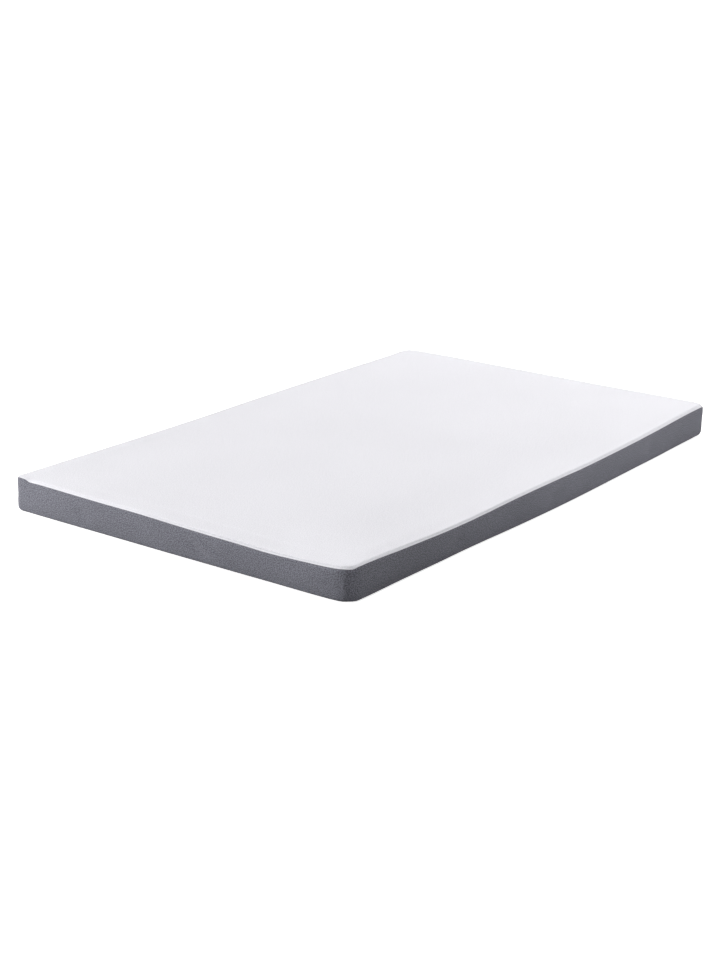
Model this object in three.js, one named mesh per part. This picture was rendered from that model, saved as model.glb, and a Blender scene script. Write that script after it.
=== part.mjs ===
// A thin foam mattress, about 1200 x 1900 x 100 mm: a grey border round the filled body, a white
// knit top panel whose rim is turned down to the seam, and a grey bottom panel to lie on.
// Millimetres, +Z up, Y along the mattress. The origin is under the middle, on the floor.
import * as THREE from "three";

// Plan of the mattress, before its sides bow
const HALF_WIDTH = 600;
const HALF_LENGTH = 950;
const CORNER_RADII = { near: 53, far: 47, rear: 45, start: 28 };

// Border: how far its middle bulges, and how its edges turn in to the seams
const BULGE = 3;
const LOWER_SEAM_HEIGHT = 3;
const LOWER_TURN = { depth: 7, height: 11 };
const UPPER_TURN = { depth: 4.2, height: 6 };

// Top panel: its thickness, the height of its middle, and the way in over which it gets there
const TOP_THICKNESS = 3;
const TOP_HEIGHT = 100;
const TOP_SETTLE = 280;
const RIM_RISE = 6.3;
const BOTTOM_THICKNESS = 2.5;
const GAP = 0.3;

// Rings of points: the rim is followed squarely down to RIM_DEPTH inside the outline
const RIM_DEPTH = 24;
const INNER_SHARES = [0.95, 0.87, 0.74, 0.5, 0.25, 0];
const SIDE_PITCH = 84;
const CORNER_STEPS = 6;
const CLOSEST_STATIONS = 2.6;
const CLOSE_ROWS = 45;

// The four sides and corners in the order of a walk round the mattress, seen from above against
// the clock. `turn` is the heading in quarter turns from +X.
const SIDES = [
  { name: "front", turn: 0, from: "start", to: "near" },
  { name: "right", turn: 1, from: "near", to: "far" },
  { name: "back", turn: 2, from: "far", to: "rear" },
  { name: "left", turn: 3, from: "rear", to: "start" },
];

// The uneven edge. `at` is the way along the side from its middle, or along a corner's arc from
// the arc's middle. `seam` is the upper seam's height above the floor, `bow` how far the side
// stands out of its plane, `lean` how far its foot leans in, and `rim` the height of the top
// just behind its turned rim.
const EDGE = [
  { side: "front", at: -553, seam: 100, bow: -2.1, lean: 0, rim: 103 },
  { side: "front", at: -539, seam: 95.2, bow: -1.8, lean: 0.2, rim: 102.6 },
  { side: "front", at: -505, seam: 95.6, bow: -1.3, lean: 0.6, rim: 102.2 },
  { side: "front", at: -400, seam: 95, bow: 0, lean: 1.5, rim: 101.3 },
  { side: "front", at: -260, seam: 93.5, bow: 1, lean: 3, rim: 99.8 },
  { side: "front", at: -120, seam: 93, bow: 1.5, lean: 3.5, rim: 99.3 },
  { side: "front", at: 0, seam: 90, bow: 1.5, lean: 3.5, rim: 96.6 },
  { side: "front", at: 120, seam: 87, bow: 0.5, lean: 3.5, rim: 94.2 },
  { side: "front", at: 230, seam: 85.5, bow: 0, lean: 3.5, rim: 93 },
  { side: "front", at: 330, seam: 83.5, bow: 0, lean: 4.5, rim: 91.2 },
  { side: "front", at: 420, seam: 86, bow: 0, lean: 4.6, rim: 93.2 },
  { side: "front", at: 510, seam: 89, bow: -1, lean: 4.8, rim: 96.2 },
  { side: "near", at: -30, seam: 92, bow: -2.6, lean: 7.2, rim: 98.6 },
  { side: "near", at: 0, seam: 91.4, bow: -3.2, lean: 9, rim: 98.9 },
  { side: "near", at: 9, seam: 91.2, bow: -3.5, lean: 7.5, rim: 99.2 },
  { side: "near", at: 17, seam: 92.9, bow: -3.7, lean: 6.2, rim: 99.6 },
  { side: "near", at: 30, seam: 96, bow: -4, lean: 4.1, rim: 100 },
  { side: "right", at: -840, seam: 95, bow: -3.5, lean: 2.7, rim: 99.6 },
  { side: "right", at: -740, seam: 89.5, bow: -3.5, lean: 2.6, rim: 95.4 },
  { side: "right", at: -640, seam: 85.5, bow: -3.5, lean: 1.4, rim: 91 },
  { side: "right", at: -540, seam: 82.5, bow: -2, lean: 1.1, rim: 87.7 },
  { side: "right", at: -440, seam: 81.5, bow: -1, lean: 1.8, rim: 86.7 },
  { side: "right", at: -340, seam: 83, bow: 1, lean: 1.2, rim: 88 },
  { side: "right", at: -230, seam: 86.5, bow: 4, lean: 0.1, rim: 91.2 },
  { side: "right", at: -110, seam: 89, bow: 7.5, lean: 0.6, rim: 93.6 },
  { side: "right", at: 20, seam: 89, bow: 9, lean: 0.4, rim: 94.4 },
  { side: "right", at: 160, seam: 87, bow: 8, lean: -0.1, rim: 92.5 },
  { side: "right", at: 320, seam: 87, bow: 5, lean: 0.2, rim: 92.8 },
  { side: "right", at: 480, seam: 88, bow: 1.5, lean: 0.2, rim: 94.2 },
  { side: "right", at: 620, seam: 91, bow: -1, lean: 0, rim: 97.3 },
  { side: "right", at: 740, seam: 94, bow: -4, lean: 1, rim: 101 },
  { side: "right", at: 860, seam: 96, bow: -6.5, lean: 1.5, rim: 103 },
  { side: "far", at: 0, seam: 96, bow: -6.5, lean: 3, rim: 103 },
  { side: "back", at: -450, seam: 95, bow: -2.5, lean: 1.5, rim: 101.3 },
  { side: "back", at: -200, seam: 92, bow: -0.5, lean: 1.5, rim: 98.6 },
  { side: "back", at: 100, seam: 90.5, bow: 0.5, lean: 1.5, rim: 97.4 },
  { side: "back", at: 400, seam: 90, bow: 0.5, lean: 1.5, rim: 96.9 },
  { side: "rear", at: 0, seam: 87, bow: 0, lean: 2, rim: 94.2 },
  { side: "left", at: -800, seam: 86, bow: -0.5, lean: 1.5, rim: 93.4 },
  { side: "left", at: -500, seam: 89, bow: 0.5, lean: 1.5, rim: 95.9 },
  { side: "left", at: -150, seam: 90, bow: 1, lean: 1.5, rim: 96.9 },
  { side: "left", at: 200, seam: 89.5, bow: 0.5, lean: 1.5, rim: 96.4 },
  { side: "left", at: 500, seam: 92, bow: 0.5, lean: 1.5, rim: 98.3 },
  { side: "left", at: 800, seam: 96.5, bow: -0.5, lean: 1.5, rim: 102 },
  { side: "left", at: 900, seam: 98.5, bow: -2, lean: -0.5, rim: 103.2 },
  { side: "start", at: 4, seam: 101, bow: -2.5, lean: -1.5, rim: 103.4 },
];

// Soft creases and swellings of the border: `up` is the height of the middle, `long` and `wide`
// are half sizes, `turn` tips the long way from upright in degrees, and `rise` is outwards.
const CREASES = [
  { side: "near", at: -2, up: 48, long: 64, wide: 4.2, turn: 0, rise: -3.3 },
  { side: "near", at: 7, up: 42, long: 62, wide: 3.6, turn: 0, rise: -2.2 },
  { side: "near", at: -16, up: 45, long: 60, wide: 6, turn: 0, rise: 1.8 },
  { side: "near", at: 8, up: 85, long: 7, wide: 12, turn: 0, rise: -3.6 },
  { side: "front", at: 122, up: 51, long: 62, wide: 7.5, turn: 66, rise: 2.8 },
  { side: "front", at: 92, up: 40, long: 40, wide: 10, turn: 66, rise: -2.8 },
  { side: "front", at: 172, up: 66, long: 50, wide: 7, turn: 70, rise: 2.4 },
  { side: "front", at: 170, up: 12, long: 100, wide: 14, turn: 90, rise: 4.6 },
  { side: "front", at: 510, up: 84, long: 72, wide: 18, turn: 90, rise: 5 },
  { side: "front", at: -330, up: 40, long: 44, wide: 30, turn: 20, rise: -1 },
  { side: "right", at: 125, up: 72, long: 60, wide: 18, turn: 90, rise: 1.8 },
  { side: "right", at: -30, up: 24, long: 44, wide: 20, turn: -60, rise: -1.7 },
  { side: "right", at: -480, up: 50, long: 60, wide: 45, turn: 0, rise: -1.4 },
  { side: "right", at: 560, up: 55, long: 50, wide: 40, turn: 15, rise: -1.2 },
  { side: "back", at: -120, up: 50, long: 55, wide: 40, turn: -20, rise: -1.5 },
  { side: "back", at: 260, up: 60, long: 45, wide: 30, turn: 60, rise: 1.3 },
  { side: "left", at: -420, up: 50, long: 50, wide: 42, turn: 15, rise: -1.5 },
  { side: "left", at: 60, up: 60, long: 55, wide: 22, turn: 68, rise: 1.4 },
  { side: "left", at: 610, up: 48, long: 55, wide: 45, turn: 0, rise: -1.3 },
];

// Long, shallow waves of the lying surface: wavelengths along X and Y, shift along Y, and height
const SWELLS = [
  { alongX: 1900, alongY: 1250, shift: 120, rise: 1.1 },
  { alongX: 820, alongY: 1600, shift: -260, rise: 0.7 },
];

// Materials, as seen on the three cloths
const WHITE_KNIT = { color: 0xf1f0f5, roughness: 0.9, metalness: 0 };
const GREY_CLOTH = { color: 0x74777f, roughness: 0.92, metalness: 0 };
const GREY_BASE = { color: 0x6c6f77, roughness: 0.94, metalness: 0 };

// Where each side and corner begins on the walk, and the walk's whole length
function measureWalk() {
  const stretches = {};
  let start = 0;
  for (const side of SIDES) {
    const half = side.turn % 2 === 0 ? HALF_WIDTH : HALF_LENGTH;
    const before = half - CORNER_RADII[side.from];
    const length = before + half - CORNER_RADII[side.to];
    stretches[side.name] = { start, length, middle: start + before, ...side };
    start += length;
    const arc = (CORNER_RADII[side.to] * Math.PI) / 2;
    stretches[side.to] = { start, length: arc, middle: start + arc / 2, turn: side.turn, corner: true };
    start += arc;
  }
  return { stretches, length: start };
}
const WALK = measureWalk();

// The place on the walk of a table's row
function placeOf(row) {
  return (WALK.stretches[row.side].middle + row.at + WALK.length) % WALK.length;
}

// The shortest signed way round the walk from one place to another
function wayBetween(from, to) {
  const way = to - from;
  return way - WALK.length * Math.round(way / WALK.length);
}

// Point and outward direction on the plan's outline, at a place on the walk
function outlineAt(place) {
  const stretch = Object.values(WALK.stretches).find(
    (one) => place >= one.start && place <= one.start + one.length,
  );
  const heading = (stretch.turn * Math.PI) / 2;
  const along = new THREE.Vector2(Math.cos(heading), Math.sin(heading));
  const outward = new THREE.Vector2(along.y, -along.x);
  const sideOut = stretch.turn % 2 === 0 ? HALF_LENGTH : HALF_WIDTH;
  const sideAlong = stretch.turn % 2 === 0 ? HALF_WIDTH : HALF_LENGTH;
  if (!stretch.corner) {
    const point = outward.clone().multiplyScalar(sideOut);
    return { point: point.addScaledVector(along, place - stretch.middle), outward };
  }
  const radius = (2 * stretch.length) / Math.PI;
  const centre = outward.clone().multiplyScalar(sideOut - radius);
  centre.addScaledVector(along, sideAlong - radius);
  outward.rotateAround(new THREE.Vector2(), (place - stretch.start) / radius);
  return { point: centre.addScaledVector(outward, radius), outward };
}

// A column of the EDGE table at a place on the walk: a smooth closed curve through its rows
const EDGE_ROWS = EDGE.map((row) => ({ ...row, place: placeOf(row) })).sort((a, b) => a.place - b.place);
function edgeAt(column, place) {
  const count = EDGE_ROWS.length;
  const row = (index) => EDGE_ROWS[(index + count) % count];
  const next = EDGE_ROWS.findIndex((one) => one.place > place);
  const after = next < 0 ? count : next;
  const gap = (a, b) => (row(b).place - row(a).place + WALK.length) % WALK.length;
  const slope = (i) => (row(i + 1)[column] - row(i - 1)[column]) / (gap(i - 1, i) + gap(i, i + 1));
  const span = gap(after - 1, after);
  const t = ((place - row(after - 1).place + WALK.length) % WALK.length) / span;
  const blend = t * t * (3 - 2 * t);
  const level = THREE.MathUtils.lerp(row(after - 1)[column], row(after)[column], blend);
  const leave = slope(after - 1) * t * (1 - t) ** 2;
  const arrive = slope(after) * t * t * (1 - t);
  return level + span * (leave - arrive);
}

// Places on the walk for the sections: even steps, closer round the corners, at the creases and
// where the edge table has close rows
function chooseStations() {
  const places = CREASES.flatMap((row) => [-1, 0, 1].map((step) => placeOf(row) + step * row.wide));
  const close = EDGE_ROWS.filter((row, i) => i > 0 && row.place - EDGE_ROWS[i - 1].place < CLOSE_ROWS);
  places.push(...close.map((row) => row.place));
  for (const stretch of Object.values(WALK.stretches)) {
    const steps = stretch.corner ? CORNER_STEPS : Math.round(stretch.length / SIDE_PITCH);
    for (let step = 0; step < steps; step += 1) places.push(stretch.start + (stretch.length * step) / steps);
  }
  places.sort((a, b) => a - b);
  const kept = places.filter((place, i) => i === 0 || place - places[i - 1] > CLOSEST_STATIONS);
  return kept.map((place) => ({
    place,
    ...outlineAt(place),
    seam: edgeAt("seam", place),
    bow: edgeAt("bow", place),
    lean: edgeAt("lean", place),
    rim: edgeAt("rim", place),
  }));
}
const STATIONS = chooseStations();

// How far the creases push the border out at a station and height
function creaseAt(station, height) {
  return CREASES.reduce((sum, row) => {
    const along = wayBetween(placeOf(row), station.place);
    const above = height - row.up;
    const tip = THREE.MathUtils.degToRad(row.turn);
    const lengthways = above * Math.cos(tip) - along * Math.sin(tip);
    const across = along * Math.cos(tip) + above * Math.sin(tip);
    return sum + row.rise * Math.exp(-((lengthways / row.long) ** 2) - (across / row.wide) ** 2);
  }, 0);
}

// A quarter of an ellipse: how far an edge has turned in at a distance from its seam
function turnIn(distance, turn) {
  const share = THREE.MathUtils.clamp(1 - distance / turn.height, 0, 1);
  return turn.depth * (1 - Math.sqrt(1 - share * share));
}

// Point of a section `out` mm outside the outline at a height
function rimPoint(station, out, height) {
  const flat = station.point.clone().addScaledVector(station.outward, station.bow + out);
  return new THREE.Vector3(flat.x, flat.y, height);
}

// Point of the border at a height between its two seams
function borderPoint(station, height) {
  const share = (height - LOWER_SEAM_HEIGHT) / (station.seam - LOWER_SEAM_HEIGHT);
  const face = BULGE * Math.sin(Math.PI * share) - station.lean * (1 - share) ** 1.5;
  const lower = turnIn(height - LOWER_SEAM_HEIGHT, LOWER_TURN);
  const upper = turnIn(station.seam - height, UPPER_TURN);
  const pinch = creaseAt(station, height) * Math.sin(Math.PI * THREE.MathUtils.clamp(share, 0, 1)) ** 0.5;
  return rimPoint(station, face - lower - upper + pinch, height);
}

// Point of the lying surface, `drop` below it, on the ring at a share of the way out to the rim
function lyingPoint(station, share, drop) {
  const point = rimPoint(station, -RIM_DEPTH, 0).multiplyScalar(share);
  const inset = Math.min(HALF_WIDTH - Math.abs(point.x), HALF_LENGTH - Math.abs(point.y));
  const settled = THREE.MathUtils.smoothstep(inset, RIM_DEPTH, TOP_SETTLE);
  const waves = SWELLS.reduce((sum, wave) => {
    const across = Math.cos((2 * Math.PI * point.x) / wave.alongX);
    return sum + wave.rise * across * Math.cos((2 * Math.PI * (point.y - wave.shift)) / wave.alongY);
  }, 0);
  point.z = THREE.MathUtils.lerp(station.rim, TOP_HEIGHT + waves, settled) - drop;
  return point;
}

// Point of a flat level, on the ring at a share of the way out to the rim
function flatPoint(station, share, height) {
  return rimPoint(station, -RIM_DEPTH, 0).multiplyScalar(share).setZ(height);
}

// Lists of section rows, each a function from a station to a point. Heights over the seam grow
// and shrink with the turned rim's.
const rollOf = (station) => (station.rim - station.seam) / RIM_RISE;
const seamRows = (table, lift) =>
  table.map(({ out, up }) => (s) => rimPoint(s, out, s.seam + up * rollOf(s) + lift));
const floorRows = (table, lift) =>
  table.map(({ out, up }) => (s) => rimPoint(s, out - s.lean, Math.max(0, up + lift)));
const lyingRows = (shares, drop) => shares.map((share) => (s) => lyingPoint(s, share, drop));
const OUTWARD_SHARES = [...INNER_SHARES].reverse();

// Splits the four-sided faces of a lathe's first rings along their other diagonal
function turnDiagonals(geometry, rings, ringCount) {
  const index = geometry.getIndex();
  for (let face = 0; face < index.count / 6; face += 1) {
    if (face % ringCount >= rings) continue;
    const [a, b, d, c] = [0, 1, 2, 3].map((corner) => index.getX(face * 6 + corner));
    [a, b, c, a, c, d].forEach((vertex, corner) => index.setX(face * 6 + corner, vertex));
  }
}

// A closed solid whose section changes from station to station: the lathe gives the closed net
// of rings and spokes, and each of its points is then carried to its row at its station. The
// first `turned` rings are split like the rings of the cloth that they lie on.
function wrapSections(rows, turned = 0) {
  const profile = rows.map((_, index) => new THREE.Vector2(index % (rows.length - 1) === 0 ? 0 : 1, index));
  const geometry = new THREE.LatheGeometry(profile, STATIONS.length);
  const position = geometry.getAttribute("position");
  for (let index = 0; index < position.count; index += 1) {
    const station = STATIONS[Math.floor(index / rows.length) % STATIONS.length];
    const { x, y, z } = rows[index % rows.length](station);
    position.setXYZ(index, x, y, z);
  }
  turnDiagonals(geometry, turned, rows.length - 1);
  geometry.computeVertexNormals();
  return geometry;
}

// Filled body: flat underside, border from the lower seam to the upper one, then the crown
const LOWER_FACE = [
  { out: -RIM_DEPTH, up: 0 },
  { out: -10, up: 0 },
];
const LOWER_HEIGHTS = [0, 0.6, 3.5, 11];
const MIDDLE_SHARES = [0.36, 0.64];
const UPPER_DEPTHS = [7, 2.5, 0.5, 0];
const UNDER_RIM = [
  { out: -9, up: 0.7 },
  { out: -16, up: 2.2 },
];
function makeBorderBody() {
  const level = BOTTOM_THICKNESS + GAP;
  const rows = [
    (s) => flatPoint(s, 0, level),
    ...floorRows(LOWER_FACE, level),
    ...LOWER_HEIGHTS.map((up) => (s) => borderPoint(s, LOWER_SEAM_HEIGHT + up)),
    ...MIDDLE_SHARES.map((share) => (s) => borderPoint(s, s.seam * share)),
    ...UPPER_DEPTHS.map((down) => (s) => borderPoint(s, s.seam - down)),
    ...seamRows(UNDER_RIM, 0),
    ...lyingRows([1, ...INNER_SHARES], TOP_THICKNESS + GAP),
  ];
  return wrapSections(rows);
}

// Top panel: underside out to the seam, the turned-down rim with its stitched groove, the top
const TURNED_RIM = [
  { out: -4.2, up: 0 },
  { out: -2.2, up: 0.2 },
  { out: -3.8, up: 1.75 },
  { out: -5.5, up: 2.55 },
  { out: -7.6, up: 2.8 },
  { out: -8.9, up: 3.7 },
  { out: -11.4, up: 5 },
  { out: -15, up: 5.85 },
];
function makeTopPanel() {
  const rows = [
    ...lyingRows([...OUTWARD_SHARES, 1], TOP_THICKNESS),
    ...seamRows([...UNDER_RIM].reverse(), GAP),
    ...seamRows(TURNED_RIM, GAP),
    ...lyingRows([1, ...INNER_SHARES], 0),
  ];
  return wrapSections(rows, INNER_SHARES.length + UNDER_RIM.length + 1);
}

// Bottom panel: flat on the floor, turned up to its seam, and flat again under the body
const TURNED_HEM = [
  { out: -RIM_DEPTH, up: 0 },
  { out: -13, up: 0 },
  { out: -9, up: 0.7 },
  { out: -7.3, up: 1.8 },
  { out: -7.2, up: 2.7 },
  { out: -10, up: 2.5 },
  { out: -RIM_DEPTH, up: 2.5 },
];
function makeBottomPanel() {
  const rows = [
    (s) => flatPoint(s, 0, 0),
    ...floorRows(TURNED_HEM, 0),
    (s) => flatPoint(s, 0, BOTTOM_THICKNESS),
  ];
  return wrapSections(rows);
}

// One named piece of cloth
function makePiece(name, geometry, look) {
  const mesh = new THREE.Mesh(geometry, new THREE.MeshStandardMaterial(look));
  mesh.name = name;
  return mesh;
}

// The pieces together, moved so that the origin lies under the middle of the footprint
const mattress = new THREE.Group();
mattress.add(
  makePiece("border_body", makeBorderBody(), GREY_CLOTH),
  makePiece("top_panel", makeTopPanel(), WHITE_KNIT),
  makePiece("bottom_panel", makeBottomPanel(), GREY_BASE),
);
const middle = new THREE.Box3().setFromObject(mattress).getCenter(new THREE.Vector3());
mattress.position.set(-middle.x, -middle.y, 0);

const group = new THREE.Group();
group.add(mattress);

export default group;
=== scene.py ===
import logging
import math
from collections.abc import Sequence
from dataclasses import dataclass, field, fields
from enum import Enum
from functools import cached_property
from typing import Self

import bpy
import numpy as np
from mathutils import Matrix, Vector


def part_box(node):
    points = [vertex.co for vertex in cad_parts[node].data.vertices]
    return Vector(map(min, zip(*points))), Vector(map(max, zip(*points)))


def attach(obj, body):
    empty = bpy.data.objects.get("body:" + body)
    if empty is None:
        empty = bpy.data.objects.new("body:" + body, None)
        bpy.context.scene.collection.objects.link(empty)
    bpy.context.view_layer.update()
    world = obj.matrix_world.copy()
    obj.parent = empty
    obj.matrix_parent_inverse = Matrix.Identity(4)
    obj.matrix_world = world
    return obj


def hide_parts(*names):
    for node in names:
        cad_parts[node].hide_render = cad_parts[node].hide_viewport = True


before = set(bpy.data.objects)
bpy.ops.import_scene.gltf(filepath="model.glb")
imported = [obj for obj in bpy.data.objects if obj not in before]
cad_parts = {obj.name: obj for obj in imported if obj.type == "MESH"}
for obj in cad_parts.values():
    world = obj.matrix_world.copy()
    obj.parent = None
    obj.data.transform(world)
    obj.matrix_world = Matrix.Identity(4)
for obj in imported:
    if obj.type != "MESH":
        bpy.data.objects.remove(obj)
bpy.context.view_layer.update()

LOG = logging.getLogger("mattress")
MM = 0.001
TURN = 2 * math.pi
FAR_FROM_SEAM = 400.0        # past any shade of the stitched groove
STITCH_PITCH = 4.0           # from one stitch to the next
RIM_RISE = 6.3               # plain height of the turned rim over the seam
BODY = "root"
UV_NAME = "flat_cut"
RUN_NAME = "seam_run"
TUG_NAME = "stitch_tug"

Colour = tuple[float, float, float]
Socket = bpy.types.NodeSocket


class Stretch(Enum):
    """The sides and corners, in the order of a walk round the mattress, seen from above."""

    FRONT = "front"
    NEAR = "near corner"
    RIGHT = "right"
    FAR = "far corner"
    BACK = "back"
    REAR = "rear corner"
    LEFT = "left"
    START = "start corner"


class Slot(Enum):
    """The record's material slots."""

    BORDER = "grey_border_cloth"
    TOP = "white_top_knit"
    BASE = "grey_base_cloth"


@dataclass(frozen=True)
class EdgeRow:
    """The uneven edge at one place, so many millimetres past the middle of a side or corner.

    Its columns are the seam's height above the floor, how far the side bows out, how far its
    foot leans in, and the height of the top just behind its rolled rim.
    """

    side: Stretch
    at: float
    seam: float
    bow: float
    lean: float
    rim: float


EDGE = (
    EdgeRow(Stretch.FRONT, -553, seam=100, bow=-2.1, lean=0, rim=103),
    EdgeRow(Stretch.FRONT, -539, seam=95.2, bow=-1.8, lean=0.2, rim=102.6),
    EdgeRow(Stretch.FRONT, -505, seam=95.6, bow=-1.3, lean=0.6, rim=102.2),
    EdgeRow(Stretch.FRONT, -400, seam=95, bow=0, lean=1.5, rim=101.3),
    EdgeRow(Stretch.FRONT, -260, seam=93.5, bow=1, lean=3, rim=99.8),
    EdgeRow(Stretch.FRONT, -120, seam=93, bow=1.5, lean=3.5, rim=99.3),
    EdgeRow(Stretch.FRONT, 0, seam=90, bow=1.5, lean=3.5, rim=96.6),
    EdgeRow(Stretch.FRONT, 120, seam=87, bow=0.5, lean=3.5, rim=94.2),
    EdgeRow(Stretch.FRONT, 230, seam=85.5, bow=0, lean=3.5, rim=93),
    EdgeRow(Stretch.FRONT, 330, seam=83.5, bow=0, lean=4.5, rim=91.2),
    EdgeRow(Stretch.FRONT, 420, seam=86, bow=0, lean=4.6, rim=93.2),
    EdgeRow(Stretch.FRONT, 510, seam=89, bow=-1, lean=4.8, rim=96.2),
    EdgeRow(Stretch.NEAR, -30, seam=92, bow=-2.6, lean=7.2, rim=98.6),
    EdgeRow(Stretch.NEAR, 0, seam=91.4, bow=-3.2, lean=9, rim=98.9),
    EdgeRow(Stretch.NEAR, 9, seam=91.2, bow=-3.5, lean=7.5, rim=99.2),
    EdgeRow(Stretch.NEAR, 17, seam=92.9, bow=-3.7, lean=6.2, rim=99.6),
    EdgeRow(Stretch.NEAR, 30, seam=96, bow=-4, lean=4.1, rim=100),
    EdgeRow(Stretch.RIGHT, -840, seam=95, bow=-3.5, lean=2.7, rim=99.6),
    EdgeRow(Stretch.RIGHT, -740, seam=89.5, bow=-3.5, lean=2.6, rim=95.4),
    EdgeRow(Stretch.RIGHT, -640, seam=85.5, bow=-3.5, lean=1.4, rim=91),
    EdgeRow(Stretch.RIGHT, -540, seam=82.5, bow=-2, lean=1.1, rim=87.7),
    EdgeRow(Stretch.RIGHT, -440, seam=81.5, bow=-1, lean=1.8, rim=86.7),
    EdgeRow(Stretch.RIGHT, -340, seam=83, bow=1, lean=1.2, rim=88),
    EdgeRow(Stretch.RIGHT, -230, seam=86.5, bow=4, lean=0.1, rim=91.2),
    EdgeRow(Stretch.RIGHT, -110, seam=89, bow=7.5, lean=0.6, rim=93.6),
    EdgeRow(Stretch.RIGHT, 20, seam=89, bow=9, lean=0.4, rim=94.4),
    EdgeRow(Stretch.RIGHT, 160, seam=87, bow=8, lean=-0.1, rim=92.5),
    EdgeRow(Stretch.RIGHT, 320, seam=87, bow=5, lean=0.2, rim=92.8),
    EdgeRow(Stretch.RIGHT, 480, seam=88, bow=1.5, lean=0.2, rim=94.2),
    EdgeRow(Stretch.RIGHT, 620, seam=91, bow=-1, lean=0, rim=97.3),
    EdgeRow(Stretch.RIGHT, 740, seam=94, bow=-4, lean=1, rim=101),
    EdgeRow(Stretch.RIGHT, 860, seam=96, bow=-6.5, lean=1.5, rim=103),
    EdgeRow(Stretch.FAR, 0, seam=96, bow=-6.5, lean=3, rim=103),
    EdgeRow(Stretch.BACK, -450, seam=95, bow=-2.5, lean=1.5, rim=101.3),
    EdgeRow(Stretch.BACK, -200, seam=92, bow=-0.5, lean=1.5, rim=98.6),
    EdgeRow(Stretch.BACK, 100, seam=90.5, bow=0.5, lean=1.5, rim=97.4),
    EdgeRow(Stretch.BACK, 400, seam=90, bow=0.5, lean=1.5, rim=96.9),
    EdgeRow(Stretch.REAR, 0, seam=87, bow=0, lean=2, rim=94.2),
    EdgeRow(Stretch.LEFT, -800, seam=86, bow=-0.5, lean=1.5, rim=93.4),
    EdgeRow(Stretch.LEFT, -500, seam=89, bow=0.5, lean=1.5, rim=95.9),
    EdgeRow(Stretch.LEFT, -150, seam=90, bow=1, lean=1.5, rim=96.9),
    EdgeRow(Stretch.LEFT, 200, seam=89.5, bow=0.5, lean=1.5, rim=96.4),
    EdgeRow(Stretch.LEFT, 500, seam=92, bow=0.5, lean=1.5, rim=98.3),
    EdgeRow(Stretch.LEFT, 800, seam=96.5, bow=-0.5, lean=1.5, rim=102),
    EdgeRow(Stretch.LEFT, 900, seam=98.5, bow=-2, lean=-0.5, rim=103.2),
    EdgeRow(Stretch.START, 4, seam=101, bow=-2.5, lean=-1.5, rim=103.4),
)


@dataclass(frozen=True)
class Crease:
    """A soft trough or swelling of the border: half sizes, tip from upright, and outward rise."""

    side: Stretch
    at: float
    up: float
    long: float
    wide: float
    tip: float
    rise: float


CREASES = (
    Crease(Stretch.NEAR, -2, up=48, long=64, wide=4.2, tip=0, rise=-3.3),
    Crease(Stretch.NEAR, 7, up=42, long=62, wide=3.6, tip=0, rise=-2.2),
    Crease(Stretch.NEAR, -16, up=45, long=60, wide=6, tip=0, rise=1.8),
    Crease(Stretch.NEAR, 8, up=85, long=7, wide=12, tip=0, rise=-3.6),
    Crease(Stretch.FRONT, 122, up=51, long=62, wide=7.5, tip=66, rise=2.8),
    Crease(Stretch.FRONT, 92, up=40, long=40, wide=10, tip=66, rise=-2.8),
    Crease(Stretch.FRONT, 172, up=66, long=50, wide=7, tip=70, rise=2.4),
    Crease(Stretch.FRONT, 170, up=12, long=100, wide=14, tip=90, rise=4.6),
    Crease(Stretch.FRONT, 510, up=84, long=72, wide=18, tip=90, rise=5),
    Crease(Stretch.FRONT, -330, up=40, long=44, wide=30, tip=20, rise=-1),
    Crease(Stretch.RIGHT, 125, up=72, long=60, wide=18, tip=90, rise=1.8),
    Crease(Stretch.RIGHT, -30, up=24, long=44, wide=20, tip=-60, rise=-1.7),
    Crease(Stretch.RIGHT, -480, up=50, long=60, wide=45, tip=0, rise=-1.4),
    Crease(Stretch.RIGHT, 560, up=55, long=50, wide=40, tip=15, rise=-1.2),
    Crease(Stretch.BACK, -120, up=50, long=55, wide=40, tip=-20, rise=-1.5),
    Crease(Stretch.BACK, 260, up=60, long=45, wide=30, tip=60, rise=1.3),
    Crease(Stretch.LEFT, -420, up=50, long=50, wide=42, tip=15, rise=-1.5),
    Crease(Stretch.LEFT, 60, up=60, long=55, wide=22, tip=68, rise=1.4),
    Crease(Stretch.LEFT, 610, up=48, long=55, wide=45, tip=0, rise=-1.3),
)


def smooth_step(t: np.ndarray) -> np.ndarray:
    """Rises from 0 to 1 with level ends: three times the square less twice the cube."""
    return t * t * (3 - 2 * t)


def bell(ways: np.ndarray, width: float) -> np.ndarray:
    """A bell curve: the exponent of minus the square of the way over the width."""
    return np.exp(-((ways / width) ** 2))


def ways_along(line: np.ndarray) -> np.ndarray:
    """The way along a line of points, or along many side by side, to each of its rows."""
    steps = np.linalg.norm(np.diff(line, axis=0), axis=-1)
    return np.concatenate([np.zeros((1, *steps.shape[1:])), np.cumsum(steps, axis=0)])


def closed(rows: np.ndarray) -> np.ndarray:
    """Rows with the first value of each once more at its end, which closes a ring."""
    return np.concatenate([rows, rows[:, :1]], axis=1)


def cells(grid: np.ndarray) -> np.ndarray:
    """The four corners of each cell of a grid, in their order round it, on a third axis."""
    return np.stack([grid[:-1, :-1], grid[:-1, 1:], grid[1:, 1:], grid[1:, :-1]], axis=2)


def turn_in(distance: np.ndarray, depth: float, height: float) -> np.ndarray:
    """How far an edge has turned in at a distance from its seam: a quarter of an ellipse."""
    share = np.clip(1 - distance / height, 0, 1)
    return depth * (1 - np.sqrt(1 - share * share))


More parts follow.
